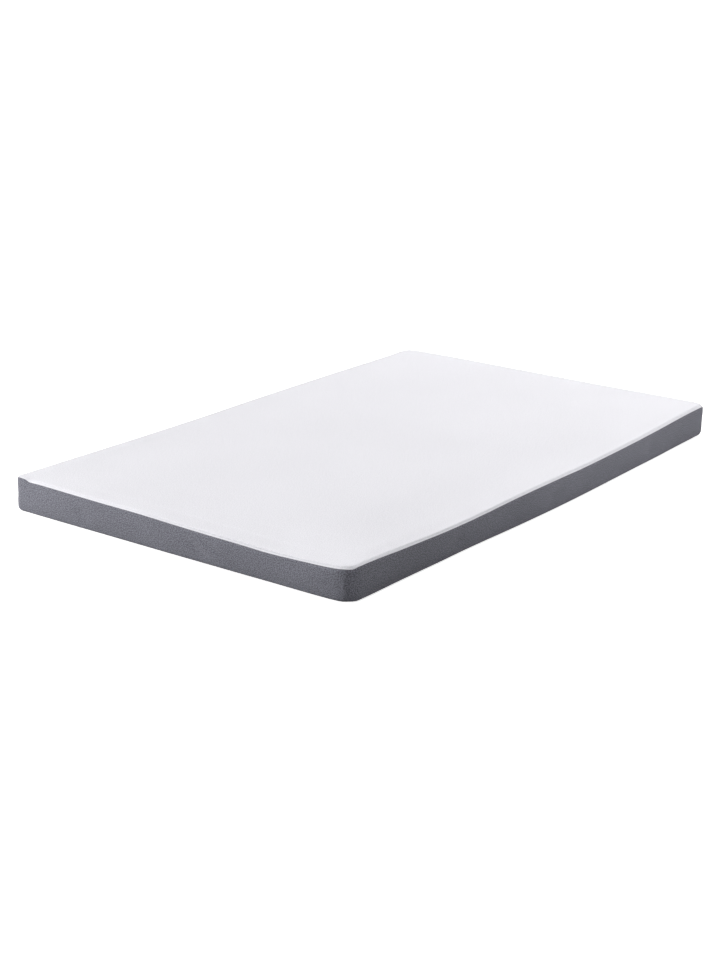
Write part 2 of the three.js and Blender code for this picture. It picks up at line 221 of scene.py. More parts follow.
def smooth_rows(rows: np.ndarray, steps: int) -> np.ndarray:
    """A smooth line through a table's rows.

    Between two rows it is the cubic whose slopes are half the chords between their neighbours.

    Args:
        rows: the table, with a point in each row.
        steps: how many steps the line takes from a row to the next.

    Returns:
        The line's points.
    """
    padded = np.concatenate([rows[:1], rows, rows[-1:]])
    t = (np.arange(steps) / steps)[None, :, None]
    before, here, there, after = (padded[i : len(rows) - 1 + i, None] for i in range(4))
    curve = 2 * before - 5 * here + 4 * there - after
    twist = 3 * (here - there) + after - before
    line = here + 0.5 * t * (there - before + t * (curve + t * twist))
    return np.concatenate([line.reshape(-1, rows.shape[1]), rows[-1:]])


def fill_ring(values: np.ndarray, across: int, along: int) -> np.ndarray:
    """Spreads the values of a closed ring over the grid that it bounds.

    Each value inside is the sum of the two blends between opposite sides, less the blend of the
    four corners.

    Args:
        values: a row for each point of the ring, from the start corner against the clock.
        across: steps along the front and the back.
        along: steps along the right and the left.

    Returns:
        The grid, as rows from front to back.
    """
    front = values[: across + 1]
    right = values[across : across + along + 1]
    back = values[across + along : 2 * across + along + 1][::-1]
    left = np.concatenate([values[2 * across + along :], values[:1]])[::-1]
    u = np.linspace(0, 1, across + 1)[None, :, None]
    v = np.linspace(0, 1, along + 1)[:, None, None]
    sides = (1 - v) * front[None] + v * back[None] + (1 - u) * left[:, None] + u * right[:, None]
    near = (1 - u) * front[0] + u * front[-1]
    distant = (1 - u) * back[0] + u * back[-1]
    return sides - (1 - v) * near - v * distant


def add_object(name: str, data: bpy.types.ID) -> bpy.types.Object:
    """Makes an object of a mesh, a lamp or a lens, and puts it in the scene."""
    made = bpy.data.objects.new(name, data)
    bpy.context.scene.collection.objects.link(made)
    return made


def add_mesh(name: str, points: np.ndarray, faces: list[list[int]]) -> bpy.types.Object:
    """Makes an object of points in metres and the faces between them."""
    mesh = bpy.data.meshes.new(name)
    mesh.from_pydata(points.tolist(), [], faces)
    return add_object(name, mesh)


def toward(azimuth: float, elevation: float) -> Vector:
    """The direction from the mattress at an azimuth and an elevation in degrees."""
    turned, raised = math.radians(azimuth), math.radians(elevation)
    level = math.cos(raised)
    return Vector((math.sin(turned) * level, -math.cos(turned) * level, math.sin(raised)))


@dataclass
class Walk:
    """The plan's outline as a walk round it: a rectangle with a radius of its own at each corner."""

    half_width: float = 600.0
    half_length: float = 950.0
    near: float = 53.0
    far: float = 47.0
    rear: float = 45.0
    start: float = 28.0
    begins: dict[Stretch, float] = field(init=False)
    middles: dict[Stretch, float] = field(init=False)
    length: float = field(init=False)

    def __post_init__(self) -> None:
        """Adds the stretches up, side and corner in turn."""
        self.begins, self.middles, self.length = {}, {}, 0.0
        for index, stretch in enumerate(Stretch):
            self.begins[stretch] = self.length
            if index % 2:
                arc = self.radius(stretch) * math.pi / 2
                self.middles[stretch] = self.length + arc / 2
                self.length += arc
            else:
                half, before, after = self.side(index)
                self.middles[stretch] = self.length + half - before
                self.length += 2 * half - before - after

    def radius(self, corner: Stretch) -> float:
        """The radius of a corner."""
        corners = (Stretch.NEAR, Stretch.FAR, Stretch.REAR, Stretch.START)
        return dict(zip(corners, (self.near, self.far, self.rear, self.start)))[corner]

    def side(self, index: int) -> tuple[float, float, float]:
        """Half length of the side at an even index, and the radii of the corners at its ends."""
        stretches = list(Stretch)
        half = self.half_length if index % 4 else self.half_width
        return half, self.radius(stretches[index - 1]), self.radius(stretches[index + 1])

    def place(self, side: Stretch, at: float) -> float:
        """The place on the walk `at` millimetres past the middle of a side or corner."""
        return (self.middles[side] + at) % self.length

    def way(self, start: float, places: np.ndarray) -> np.ndarray:
        """The shortest signed way round from a place to others."""
        gap = places - start
        return gap - self.length * np.round(gap / self.length)

    def flat_size(self, turned: float) -> tuple[float, float]:
        """Width and length, in metres, of a flat cut that passes the plan by so much all round."""
        return (2 * self.half_width + 2 * turned) * MM, (2 * self.half_length + 2 * turned) * MM

    def outline(self, places: np.ndarray) -> tuple[np.ndarray, np.ndarray]:
        """Points and outward directions of the outline.

        A side is a straight run along its heading. A corner turns the outward direction about the
        arc's centre by the way along it over its radius.

        Args:
            places: places on the walk.

        Returns:
            The points and the outward unit directions, each as rows of x and y.
        """
        places = np.mod(places, self.length)
        points, outward = np.zeros((len(places), 2)), np.zeros((len(places), 2))
        begins = np.array([self.begins[stretch] for stretch in Stretch])
        owner = np.searchsorted(begins, places, side="right") - 1
        for index, stretch in enumerate(Stretch):
            mine = owner == index
            heading = (index // 2) * math.pi / 2
            along = np.array([math.cos(heading), math.sin(heading)])
            out = np.array([along[1], -along[0]])
            across, ahead = self.half_length, self.half_width
            if index // 2 % 2:
                across, ahead = ahead, across
            if index % 2 == 0:
                points[mine] = out * across + np.outer(places[mine] - self.middles[stretch], along)
                outward[mine] = out
                continue
            radius = self.radius(stretch)
            angle = (places[mine] - begins[index]) / radius
            outward[mine] = np.outer(np.cos(angle), out) + np.outer(np.sin(angle), along)
            centre = out * (across - radius) + along * (ahead - radius)
            points[mine] = centre + outward[mine] * radius
        return points, outward


@dataclass(frozen=True)
class Ripple:
    """Unevenness that closes on itself round the walk, as a sum of seeded cosines."""

    shortest: float
    longest: float
    rise: float
    seed: int
    waves: int = 28
    least: float = 0.4
    crest: float = 1.1

    def at(self, places: np.ndarray, length: float) -> np.ndarray:
        """The ripple's height.

        Each wave goes round a whole number of times. Its wavelength, size and phase are drawn
        from the seed, and the sum is scaled so that `rise` is about its largest height.

        Args:
            places: places on the walk.
            length: the walk's length.

        Returns:
            A height for each place.
        """
        draw = np.random.default_rng(self.seed)
        spread = math.log(self.shortest), math.log(self.longest)
        turns = np.round(length / np.exp(draw.uniform(*spread, self.waves)))
        phases = draw.uniform(0, TURN, self.waves)
        sizes = draw.uniform(self.least, 1.0, self.waves)
        angles = places[..., None] * turns * TURN / length + phases
        return self.rise * (np.cos(angles) @ sizes) / (self.crest * np.sqrt((sizes**2).sum() * 2))


@dataclass(frozen=True)
class Stations:
    """Sections of the mattress round the walk: where they stand, and the edge's values there."""

    place: np.ndarray
    point: np.ndarray
    outward: np.ndarray
    seam: np.ndarray
    bow: np.ndarray
    lean: np.ndarray
    rim: np.ndarray

    @property
    def roll(self) -> np.ndarray:
        """How high the rolled rim stands over the seam, as a share of its plain height."""
        return (self.rim - self.seam) / RIM_RISE

    @property
    def bowed(self) -> np.ndarray:
        """Points of the outline on the plan, with its bow."""
        return self.point + self.outward * self.bow[:, None]

    def every(self, step: int) -> Self:
        """The sections that come up at each step, counted from the first."""
        return Stations(*(getattr(self, row.name)[::step] for row in fields(self)))

    def reach(self, out: np.ndarray | float, height: np.ndarray | float) -> np.ndarray:
        """Points beside the bowed outline, at a height.

        Args:
            out: how far they stand outside it, for each section, or in rows of sections.
            height: how high they stand above the floor, likewise.

        Returns:
            The points, in rows of sections where either is given so.
        """
        shape = np.broadcast_shapes(np.shape(out), np.shape(height), self.place.shape)
        out = np.broadcast_to(out, shape)
        flat = self.point + self.outward * (self.bow + out)[..., None]
        return np.concatenate([flat, np.broadcast_to(height, shape)[..., None]], axis=-1)


@dataclass(frozen=True)
class EdgeCurve:
    """Smooth closed curves through the rows of the edge table."""

    walk: Walk
    rows: Sequence[EdgeRow]

    def column(self, name: str, places: np.ndarray) -> np.ndarray:
        """A column of the table, smoothly between its rows.

        Between two rows it is the cubic whose slopes at both are those of the chords between
        their neighbours.

        Args:
            name: the column.
            places: places on the walk.

        Returns:
            A value for each place.
        """
        knots = np.array([self.walk.place(row.side, row.at) for row in self.rows])
        values = np.array([getattr(row, name) for row in self.rows], float)
        order = np.argsort(knots)
        knots, values = knots[order], values[order]
        length = self.walk.length
        knots = np.concatenate([knots[-2:] - length, knots, knots[:2] + length])
        values = np.concatenate([values[-2:], values, values[:2]])
        slopes = np.zeros(len(knots))
        slopes[1:-1] = (values[2:] - values[:-2]) / (knots[2:] - knots[:-2])
        places = np.mod(places, length)
        before = np.clip(np.searchsorted(knots, places, side="right") - 1, 1, len(knots) - 3)
        span = knots[before + 1] - knots[before]
        t = (places - knots[before]) / span
        blend = smooth_step(t)
        level = values[before] * (1 - blend) + values[before + 1] * blend
        leaving, coming = slopes[before] * t * (1 - t) ** 2, slopes[before + 1] * t * t * (1 - t)
        return level + span * (leaving - coming)

    def stations(self, places: np.ndarray) -> Stations:
        """The sections at places on the walk."""
        point, outward = self.walk.outline(places)
        columns = (self.column(name, places) for name in ("seam", "bow", "lean", "rim"))
        return Stations(places, point, outward, *columns)


@dataclass
class Cut:
    """What all pieces share: the walk, its uneven edge, and the fine sections round it.

    Sections are counted from the middle of the start corner, so that every fifth one is a corner
    or a step of the coarse grid that fills the middle of a panel. `middle` is the middle of the
    footprint on the plan.
    """

    walk: Walk
    across: int = 60
    along: int = 95
    finer: int = 5
    samples: int = 4001
    corner_spread: float = 45.0
    corner_density: float = 1.6
    middle: np.ndarray = field(default_factory=lambda: np.zeros(2))

    @cached_property
    def curve(self) -> EdgeCurve:
        """The uneven edge."""
        return EdgeCurve(self.walk, EDGE)

    @cached_property
    def fine(self) -> Stations:
        """Sections evenly round the walk, and closer at the corners.

        Between two corner middles the places split the sum of a density into equal parts. The
        density is one, and more by a bell curve round each corner.

        Returns:
            The sections, from the middle of the start corner.
        """
        corners = [Stretch.START, Stretch.NEAR, Stretch.FAR, Stretch.REAR]
        middles = [self.walk.middles[corner] for corner in corners]
        middles[0] -= self.walk.length
        ends = middles[1:] + [middles[0] + self.walk.length]
        counts = [self.across * self.finer, self.along * self.finer] * 2
        parts = []
        for low, high, count in zip(middles, ends, counts):
            ways = np.linspace(low, high, self.samples)
            nearby = bell(ways - low, self.corner_spread) + bell(ways - high, self.corner_spread)
            density = 1 + self.corner_density * nearby
            total = np.concatenate([[0], np.cumsum((density[1:] + density[:-1]) / 2)])
            parts.append(np.interp(np.arange(count) / count * total[-1], total, ways))
        return self.curve.stations(np.concatenate(parts))

    @property
    def coarse(self) -> slice:
        """Picks the sections of the coarse grid out of the fine ones."""
        return slice(None, None, self.finer)

    def spread_in(self, ring: np.ndarray) -> np.ndarray:
        """The coarse grid inside a coarse ring, with the ring's values spread over it."""
        return fill_ring(ring, self.across, self.along)

    def unrolled(self, ways: np.ndarray) -> np.ndarray:
        """The place and the way from the seam of each point of closed rings, as rows of pairs."""
        place = self.fine.place
        closing = np.append(place, place[0] + self.walk.length)
        return np.stack(np.broadcast_arrays(closing[None, :], ways[:, None]), axis=-1)


@dataclass
class ClothNet:
    """A closed mesh put together from rings of points, in millimetres until it is made.

    Rings run round the walk against the clock. Skins between them face outwards when the rings
    are taken from the middle of the underside, out, up the side and in over the top.
    """

    cut: Cut
    points: list[np.ndarray] = field(default_factory=list)
    faces: list[list[int]] = field(default_factory=list)
    corner_uvs: list[np.ndarray] = field(default_factory=list)
    corner_runs: list[np.ndarray] = field(default_factory=list)
    tugs: list[np.ndarray] = field(default_factory=list)
    count: int = 0

    def add(self, points: np.ndarray, tug: np.ndarray | float = 0.0) -> np.ndarray:
        """Adds points.

        Args:
            points: the points, in any number of rows.
            tug: the stitches' tug at them, from 0 to 1.

        Returns:
            The points' indices, in the same rows.
        """
        flat = points.reshape(-1, 3)
        self.points.append(flat)
        self.tugs.append(np.broadcast_to(tug, points.shape[:-1]).reshape(-1))
        self.count += len(flat)
        return np.arange(self.count - len(flat), self.count).reshape(points.shape[:-1])

    def put(self, faces: np.ndarray, uvs: np.ndarray, runs: np.ndarray | None = None) -> None:
        """Adds faces.

        Args:
            faces: indices, a row for each face.
            uvs: the place on the flat cut of each of their corners.
            runs: the place and the way from the seam of each corner, or none far from it.
        """
        if runs is None:
            runs = np.full((faces.size, 2), FAR_FROM_SEAM)
        self.faces.extend(faces.tolist())
        self.corner_uvs.append(uvs.reshape(-1, 2))
        self.corner_runs.append(runs.reshape(-1, 2))

    def put_level(self, faces: np.ndarray, uv: np.ndarray, upward: bool) -> None:
        """Adds faces that face up or down, with a UV for each point of the net."""
        turned = faces if upward else faces[:, ::-1]
        self.put(turned, uv[turned])

    def skin(self, rings: np.ndarray, uvs: np.ndarray, ways: np.ndarray) -> None:
        """Joins rings, each to the next, with four-sided faces.

        Args:
            rings: indices, a row for each ring.
            uvs: a UV for each point, with one column more than the rings, which closes them.
            ways: the way of each ring from the seam.
        """
        faces = cells(closed(rings)).reshape(-1, 4)
        self.put(faces, cells(uvs), cells(self.cut.unrolled(ways)))

    def zip_in(self, ring: np.ndarray, coarse: np.ndarray, uv: np.ndarray, upward: bool) -> None:
        """Joins a fine ring to the coarse one inside it, with fans of three-sided faces.

        Args:
            ring: indices of the fine ring.
            coarse: indices of the coarse one.
            uv: a UV for each point of the net.
            upward: whether the faces face up.
        """
        step = self.cut.finer
        turn = step // 2 + 1
        fine = np.append(ring, ring[0])
        start = np.arange(len(coarse)) * step
        here, there = coarse, np.roll(coarse, -1)
        fans = [
            np.stack([fine[start + j], fine[start + j + 1], here if j < turn else there], axis=-1)
            for j in range(step)
        ]
        fans.append(np.stack([fine[start + turn], there, here], axis=-1))
        self.put_level(np.concatenate(fans), uv, upward)

    def close(self, ring: np.ndarray, points: np.ndarray, upward: bool) -> None:
        """Closes the net inside one of its fine rings with a grid of points, joined by fans.

        Args:
            ring: indices of the fine ring.
            points: the grid, as rows from front to back.
            upward: whether the grid faces up.
        """
        grid = self.add(points)
        border = np.concatenate([grid[0, :-1], grid[:-1, -1], grid[-1, :0:-1], grid[:0:-1, 0]])
        uv = np.concatenate(self.points)[:, :2]
        self.zip_in(ring, border, uv, upward)
        self.put_level(cells(grid).reshape(-1, 4), uv, upward)

    def close_level(self, ring: np.ndarray, points: np.ndarray, share: float, upward: bool) -> None:
        """Closes the net inside a level ring.

        Args:
            ring: indices of the ring.
            points: its points.
            share: the coarse grid's size as a share of the ring's.
            upward: whether the grid faces up.
        """
        inside = points[self.cut.coarse] * (share, share, 1.0)
        self.close(ring, self.cut.spread_in(inside), upward)

    def make(self, name: str) -> bpy.types.Object:
        """Makes the object, in metres, round the middle of the footprint.

        Args:
            name: its name.

        Returns:
            The object.
        """
        points = np.concatenate(self.points)
        points[:, :2] -= self.cut.middle
        made = add_mesh(name, points * MM, self.faces)
        mesh = made.data
        for label, corners in ((UV_NAME, self.corner_uvs), (RUN_NAME, self.corner_runs)):
            values = (np.concatenate(corners) * MM).ravel().astype(np.float32)
            mesh.uv_layers.new(name=label).uv.foreach_set("vector", values)
        tug = mesh.attributes.new(TUG_NAME, "FLOAT", "POINT")
        tug.data.foreach_set("value", np.concatenate(self.tugs).astype(np.float32))
        mesh.shade_smooth()
        mesh.validate()
        return made


@dataclass(frozen=True)
class Lying:
    """The lying surface: it rises from the wavy rim to an almost level middle.

    Each wave has its wavelengths across and along the mattress, its shift along it and its rise.
    """

    cut: Cut
    height: float = 100.0
    rim_depth: float = 24.0
    settle: float = 280.0
    lower_share: float = 0.955
    waves: tuple[tuple[float, float, float, float], ...] = (
        (1900, 1250, 120, 1.1),
        (820, 1600, -260, 0.7),
    )

    def level(self, flat: np.ndarray, rim: np.ndarray) -> np.ndarray:
        """Heights of the surface at points of the plan.

        The rim's height gives way to the middle's by a smooth step of the distance from the
        nearest side. The middle has the sum of long cosine waves across and along it.

        Args:
            flat: x and y.
            rim: height of the rim nearest to each point.

        Returns:
            The heights, in the shape of `rim`.
        """
        walk = self.cut.walk
        inset = np.minimum(walk.half_width - abs(flat[..., 0]), walk.half_length - abs(flat[..., 1]))
        t = smooth_step(np.clip((inset - self.rim_depth) / (self.settle - self.rim_depth), 0, 1))
        middle = self.height + sum(
            rise * np.cos(TURN * flat[..., 0] / wide) * np.cos(TURN * (flat[..., 1] - shift) / long)
            for wide, long, shift, rise in self.waves
        )
        return rim * (1 - t) + middle * t

    def ring(self, share: float, drop: float) -> np.ndarray:
        """A ring of the surface.

        Args:
            share: its size as a share of the rim's.
            drop: how far it lies below the surface.

        Returns:
            Its points.
        """
        points = self.cut.fine.reach(-self.rim_depth, 0.0)
        points[..., :2] *= share
        points[..., 2] = self.level(points[..., :2], self.cut.fine.rim) - drop
        return points

    def cap(self, net: ClothNet, ring: np.ndarray, share: float, drop: float, upward: bool) -> None:
        """Closes a net inside one of its rings with the coarse grid of this surface.

        Args:
            net: the net to close.
            ring: indices of its ring.
            share: the grid's size as a share of the rim's.
            drop: how far the grid lies below the surface.
            upward: whether the grid faces up.
        """
        every = self.cut.coarse
        outer = self.ring(share, drop)[every]
        grid = self.cut.spread_in(np.column_stack([outer[:, :2], self.cut.fine.rim[every]]))
        plan = grid[..., :2]
        heights = self.level(plan, grid[..., 2]) - drop
        net.close(ring, np.concatenate([plan, heights[..., None]], axis=-1), upward)


@dataclass(frozen=True)
class SewnStrip:
    """The border's cloth, let go between its two seams by Blender's cloth simulation.

    The strip is a coarse net of the taut border, sewn fast at both seams, a little longer than
    the gap between them, and filled by the pressure of the foam. Only the way in which it
    settles unevenly is kept, so that the sides keep their measured swell.
    """

    rows: int = 14
    stride: int = 2
    frames: int = 20
    quality: int = 5
    pressure: float = 10.0
    spare: float = 0.002
    stiffness: float = 15.0
    shear: float = 5.0
    bending: float = 30.0
    damping: float = 5.0
    mass: float = 0.3
    cap: float = 5.0
    half_sines: int = 4
    finest: int = 110

    def settle(self, points: np.ndarray, outward: np.ndarray) -> np.ndarray:
        """How the strip settles, as half sines of the height whose sizes change round the walk.

        The outward moves are capped and their mean along each row is taken away. A sum over the
        rows gives the size of each half sine, and a bell curve over the waves round the walk
        takes out the finest ones. Its transform back has `stride` times as many sections.

        Args:
            points: the taut strip, as rows of sections, in millimetres.
            outward: each section's outward direction on the plan.

        Returns:
            A row of sizes for each half sine, with a value for each fine section.
        """
        fine = points.shape[1] * self.stride
        moved = ((self.simulate(points) - points)[..., :2] * outward).sum(axis=-1)
        moved = np.clip(moved, -self.cap, self.cap)
        moved -= moved.mean(axis=1, keepdims=True)
        counts = np.arange(1, self.half_sines + 1)[:, None]
        basis = np.sin(math.pi * counts * np.linspace(0, 1, self.rows))
        waves = np.fft.rfft(2 / (self.rows - 1) * basis @ moved, axis=1)
        waves *= bell(np.arange(waves.shape[1]), self.finest)
        return np.fft.irfft(waves, n=fine, axis=1) * self.stride

    def simulate(self, points: np.ndarray) -> np.ndarray:
        """Runs the simulation on a net of its own.

        Args:
            points: the taut strip, as rows of sections, in millimetres.

        Returns:
            Where its points come to rest.
        """
        index = np.arange(points.size // 3).reshape(points.shape[:2])
        faces = cells(closed(index)).reshape(-1, 4)
        strip = add_mesh("loose_strip", points.reshape(-1, 3) * MM, faces.tolist())
        sewn = strip.vertex_groups.new(name="sewn")
        sewn.add(np.concatenate([index[0], index[-1]]).tolist(), 1.0, "REPLACE")
        cloth = strip.modifiers.new("cloth", "CLOTH")
        cloth.collision_settings.use_collision = False
        cloth.point_cache.frame_start, cloth.point_cache.frame_end = 1, self.frames
        for name, value in {
            "quality": self.quality,
            "mass": self.mass,
            "tension_stiffness": self.stiffness,
            "compression_stiffness": self.stiffness,
            "shear_stiffness": self.shear,
            "bending_stiffness": self.bending,
            "tension_damping": self.damping,
            "compression_damping": self.damping,
            "shear_damping": self.damping,
            "use_pressure": True,
            "uniform_pressure_force": self.pressure,
            "shrink_min": -self.spare,
            "vertex_group_mass": sewn.name,
        }.items():
            setattr(cloth.settings, name, value)
        cloth.settings.effector_weights.gravity = 0.0
        scene = bpy.context.scene
        for number in range(1, self.frames + 1):
            scene.frame_set(number)
        settled = strip.evaluated_get(bpy.context.evaluated_depsgraph_get()).to_mesh()
        places = np.empty(points.size)
        settled.vertices.foreach_get("co", places)
        mesh = strip.data
        bpy.data.objects.remove(strip)
        bpy.data.meshes.remove(mesh)
        scene.frame_set(1)
        return places.reshape(points.shape) / MM


@dataclass
class BorderBody:
    """The filled body with its grey border: sides that bulge, lean and turn in to two seams.

    A turn is how far the cloth goes in and how high it starts to. `base` is the way out from
    the side's foot to the rows under it. Rows under the rim are the way out and up from the
    seam, and `over` is the way along the cloth to them and to the ring inside them.
    """

    cut: Cut
    lying: Lying
    bulge: float = 3.0
    lean_power: float = 1.5
    crease_power: float = 0.5
    gather_power: float = 0.35
    lower_seam: float = 3.0
    lower_turn: tuple[float, float] = (7.0, 11.0)
    upper_turn: tuple[float, float] = (4.2, 6.0)
    upper_spread: float = 1.6
    turned_rows: int = 9
    plain_rows: int = 17
    base: tuple[float, ...] = (-24.0, -10.0)
    base_level: float = 2.8
    base_share: float = 0.96
    under_rim: tuple[tuple[float, float], ...] = ((-9.0, 0.7), (-16.0, 2.2))
    over: tuple[float, ...] = (5.0, 12.0, 20.0)
    cloth: float = 3.3
    upper_gathers: Ripple = Ripple(9, 26, rise=0.45, seed=11)
    upper_fade: float = 10.0
    lower_gathers: Ripple = Ripple(12, 40, rise=0.35, seed=23)
    lower_fade: float = 12.0
    strip: SewnStrip = field(default_factory=SewnStrip)

    def heights(self, seam: np.ndarray) -> np.ndarray:
        """Rows of heights from the lower seam to the upper one, closer at both turned edges.

        Args:
            seam: the upper seam's height at each section.

        Returns:
            The heights, as rows of sections.
        """
        low = self.lower_turn[1] * (1 - np.cos(np.linspace(0, math.pi / 2, self.turned_rows)))
        high = 1 - np.cos(np.linspace(math.pi / 2, 0, self.turned_rows))
        high = self.upper_turn[1] * self.upper_spread * high
        middle = np.linspace(0, 1, self.plain_rows + 2)[1:-1]
        span = seam - self.lower_seam
        rows = [self.lower_seam + low[:, None] + 0 * seam]
        start, end = low[-1], span - high[0]
        rows.append(self.lower_seam + start + middle[:, None] * (end - start))
        rows.append(seam - high[:, None])
        return np.concatenate(rows)

    def crease(self, stations: Stations, heights: np.ndarray) -> np.ndarray:
        """How far the creases push the border out.

        Each is a bell curve over an ellipse: its rise, times the exponent of minus the squares
        of the ways along and across it over its half sizes.

        Args:
            stations: the sections.
            heights: rows of heights over them.

        Returns:
            The push at each height.
        """
        pushed = np.zeros(heights.shape)
        for row in CREASES:
            along = self.cut.walk.way(self.cut.walk.place(row.side, row.at), stations.place)
            above = heights - row.up
            tip = math.radians(row.tip)
            lengthways = (above * math.cos(tip) - along * math.sin(tip)) / row.long
            across = (along * math.cos(tip) + above * math.sin(tip)) / row.wide
            pushed += row.rise * np.exp(-(lengthways**2) - across**2)
        return pushed

    def gathers(self, stations: Stations, heights: np.ndarray) -> np.ndarray:
        """Fine gathers by both seams, each fading with a bell curve of the way from its seam.

        Args:
            stations: the sections.
            heights: rows of heights over them.

        Returns:
            The gathers' rise at each height.
        """
        ripples = (
            (self.upper_gathers, stations.seam - heights, self.upper_fade),
            (self.lower_gathers, heights - self.lower_seam, self.lower_fade),
        )
        return sum(
            gathers.at(stations.place, self.cut.walk.length) * bell(way, fade)
            for gathers, way, fade in ripples
        )

    def share(self, stations: Stations, heights: np.ndarray) -> np.ndarray:
        """Heights as shares of the way from the lower seam to the upper one."""
        return np.clip((heights - self.lower_seam) / (stations.seam - self.lower_seam), 0, 1)

    def taut(self, stations: Stations, heights: np.ndarray) -> np.ndarray:
        """How far the border would stand out if it were taut.

        It is a half sine of the height for the bulge, less the lean towards the floor, less a
        quarter ellipse at each seam, plus the creases.

        Args:
            stations: the sections.
            heights: rows of heights over them.

        Returns:
            The way out at each height.
        """
        share = self.share(stations, heights)
        round_out = np.sin(math.pi * share)
        out = self.bulge * round_out - stations.lean * (1 - share) ** self.lean_power
        out = out - turn_in(heights - self.lower_seam, *self.lower_turn)
        out = out - turn_in(stations.seam - heights, *self.upper_turn)
        return out + self.crease(stations, heights) * round_out**self.crease_power

    @cached_property
    def settled(self) -> np.ndarray:
        """The half sines by which the simulated cloth settles round the walk.

        Returns:
            A row of sizes for each half sine, with a value for each fine section.
        """
        stations = self.cut.fine.every(self.strip.stride)
        shares = np.linspace(0, 1, self.strip.rows)[:, None]
        heights = self.lower_seam + shares * (stations.seam - self.lower_seam)
        points = stations.reach(self.taut(stations, heights), heights)
        return self.strip.settle(points, stations.outward)

    def side(self, heights: np.ndarray) -> np.ndarray:
        """Points of the border's face: taut, gathered and settled.

        Args:
            heights: rows of heights over the fine sections.

        Returns:
            The points, in the same rows.
        """
        stations = self.cut.fine
        share = self.share(stations, heights)
        gathered = self.gathers(stations, heights) * np.sin(math.pi * share) ** self.gather_power
        out = self.taut(stations, heights) + gathered
        for count, sizes in enumerate(self.settled, 1):
            out = out + sizes * np.sin(math.pi * count * share)
        return stations.reach(out, heights)

    def middle(self, box: Sequence[Sequence[float]]) -> np.ndarray:
        """The middle of the footprint on the plan.

        Args:
            box: the corners, in metres, of the box that the body fills.

        Returns:
            Its x and y, in millimetres.
        """
        plan = self.side(self.heights(self.cut.fine.seam)).reshape(-1, 3)[:, :2]
        filled = np.array([corner[:2] for corner in box]).mean(axis=0) / MM
        return (plan.min(axis=0) + plan.max(axis=0)) / 2 - filled

    def build(self) -> bpy.types.Object:
        """Makes the body as one closed mesh.

        Returns:
            The body.
        """
        stations = self.cut.fine
        net = ClothNet(self.cut)
        under = stations.reach(np.array(self.base)[:, None] - stations.lean, self.base_level)
        base = net.add(under)
        face = self.side(self.heights(stations.seam))
        girth = np.linalg.norm(np.diff(face, axis=0), axis=-1).mean(axis=1)
        down = np.concatenate([[0.0], np.cumsum(girth)])
        side = net.add(face)
        covered = [
            stations.reach(out, stations.seam + up * stations.roll) for out, up in self.under_rim
        ]
        over = net.add(np.array([*covered, self.lying.ring(1.0, self.cloth)]))
        ways = np.concatenate([self.base, down, down[-1] + np.array(self.over)])
        rings = np.concatenate([base, side, over])
        net.skin(rings, self.cut.unrolled(ways), down[-1] - ways)
        net.close_level(base[0], under[0], self.base_share, upward=False)
        self.lying.cap(net, over[-1], self.lying.lower_share, self.cloth, upward=True)
        return net.make("border_body_cloth")


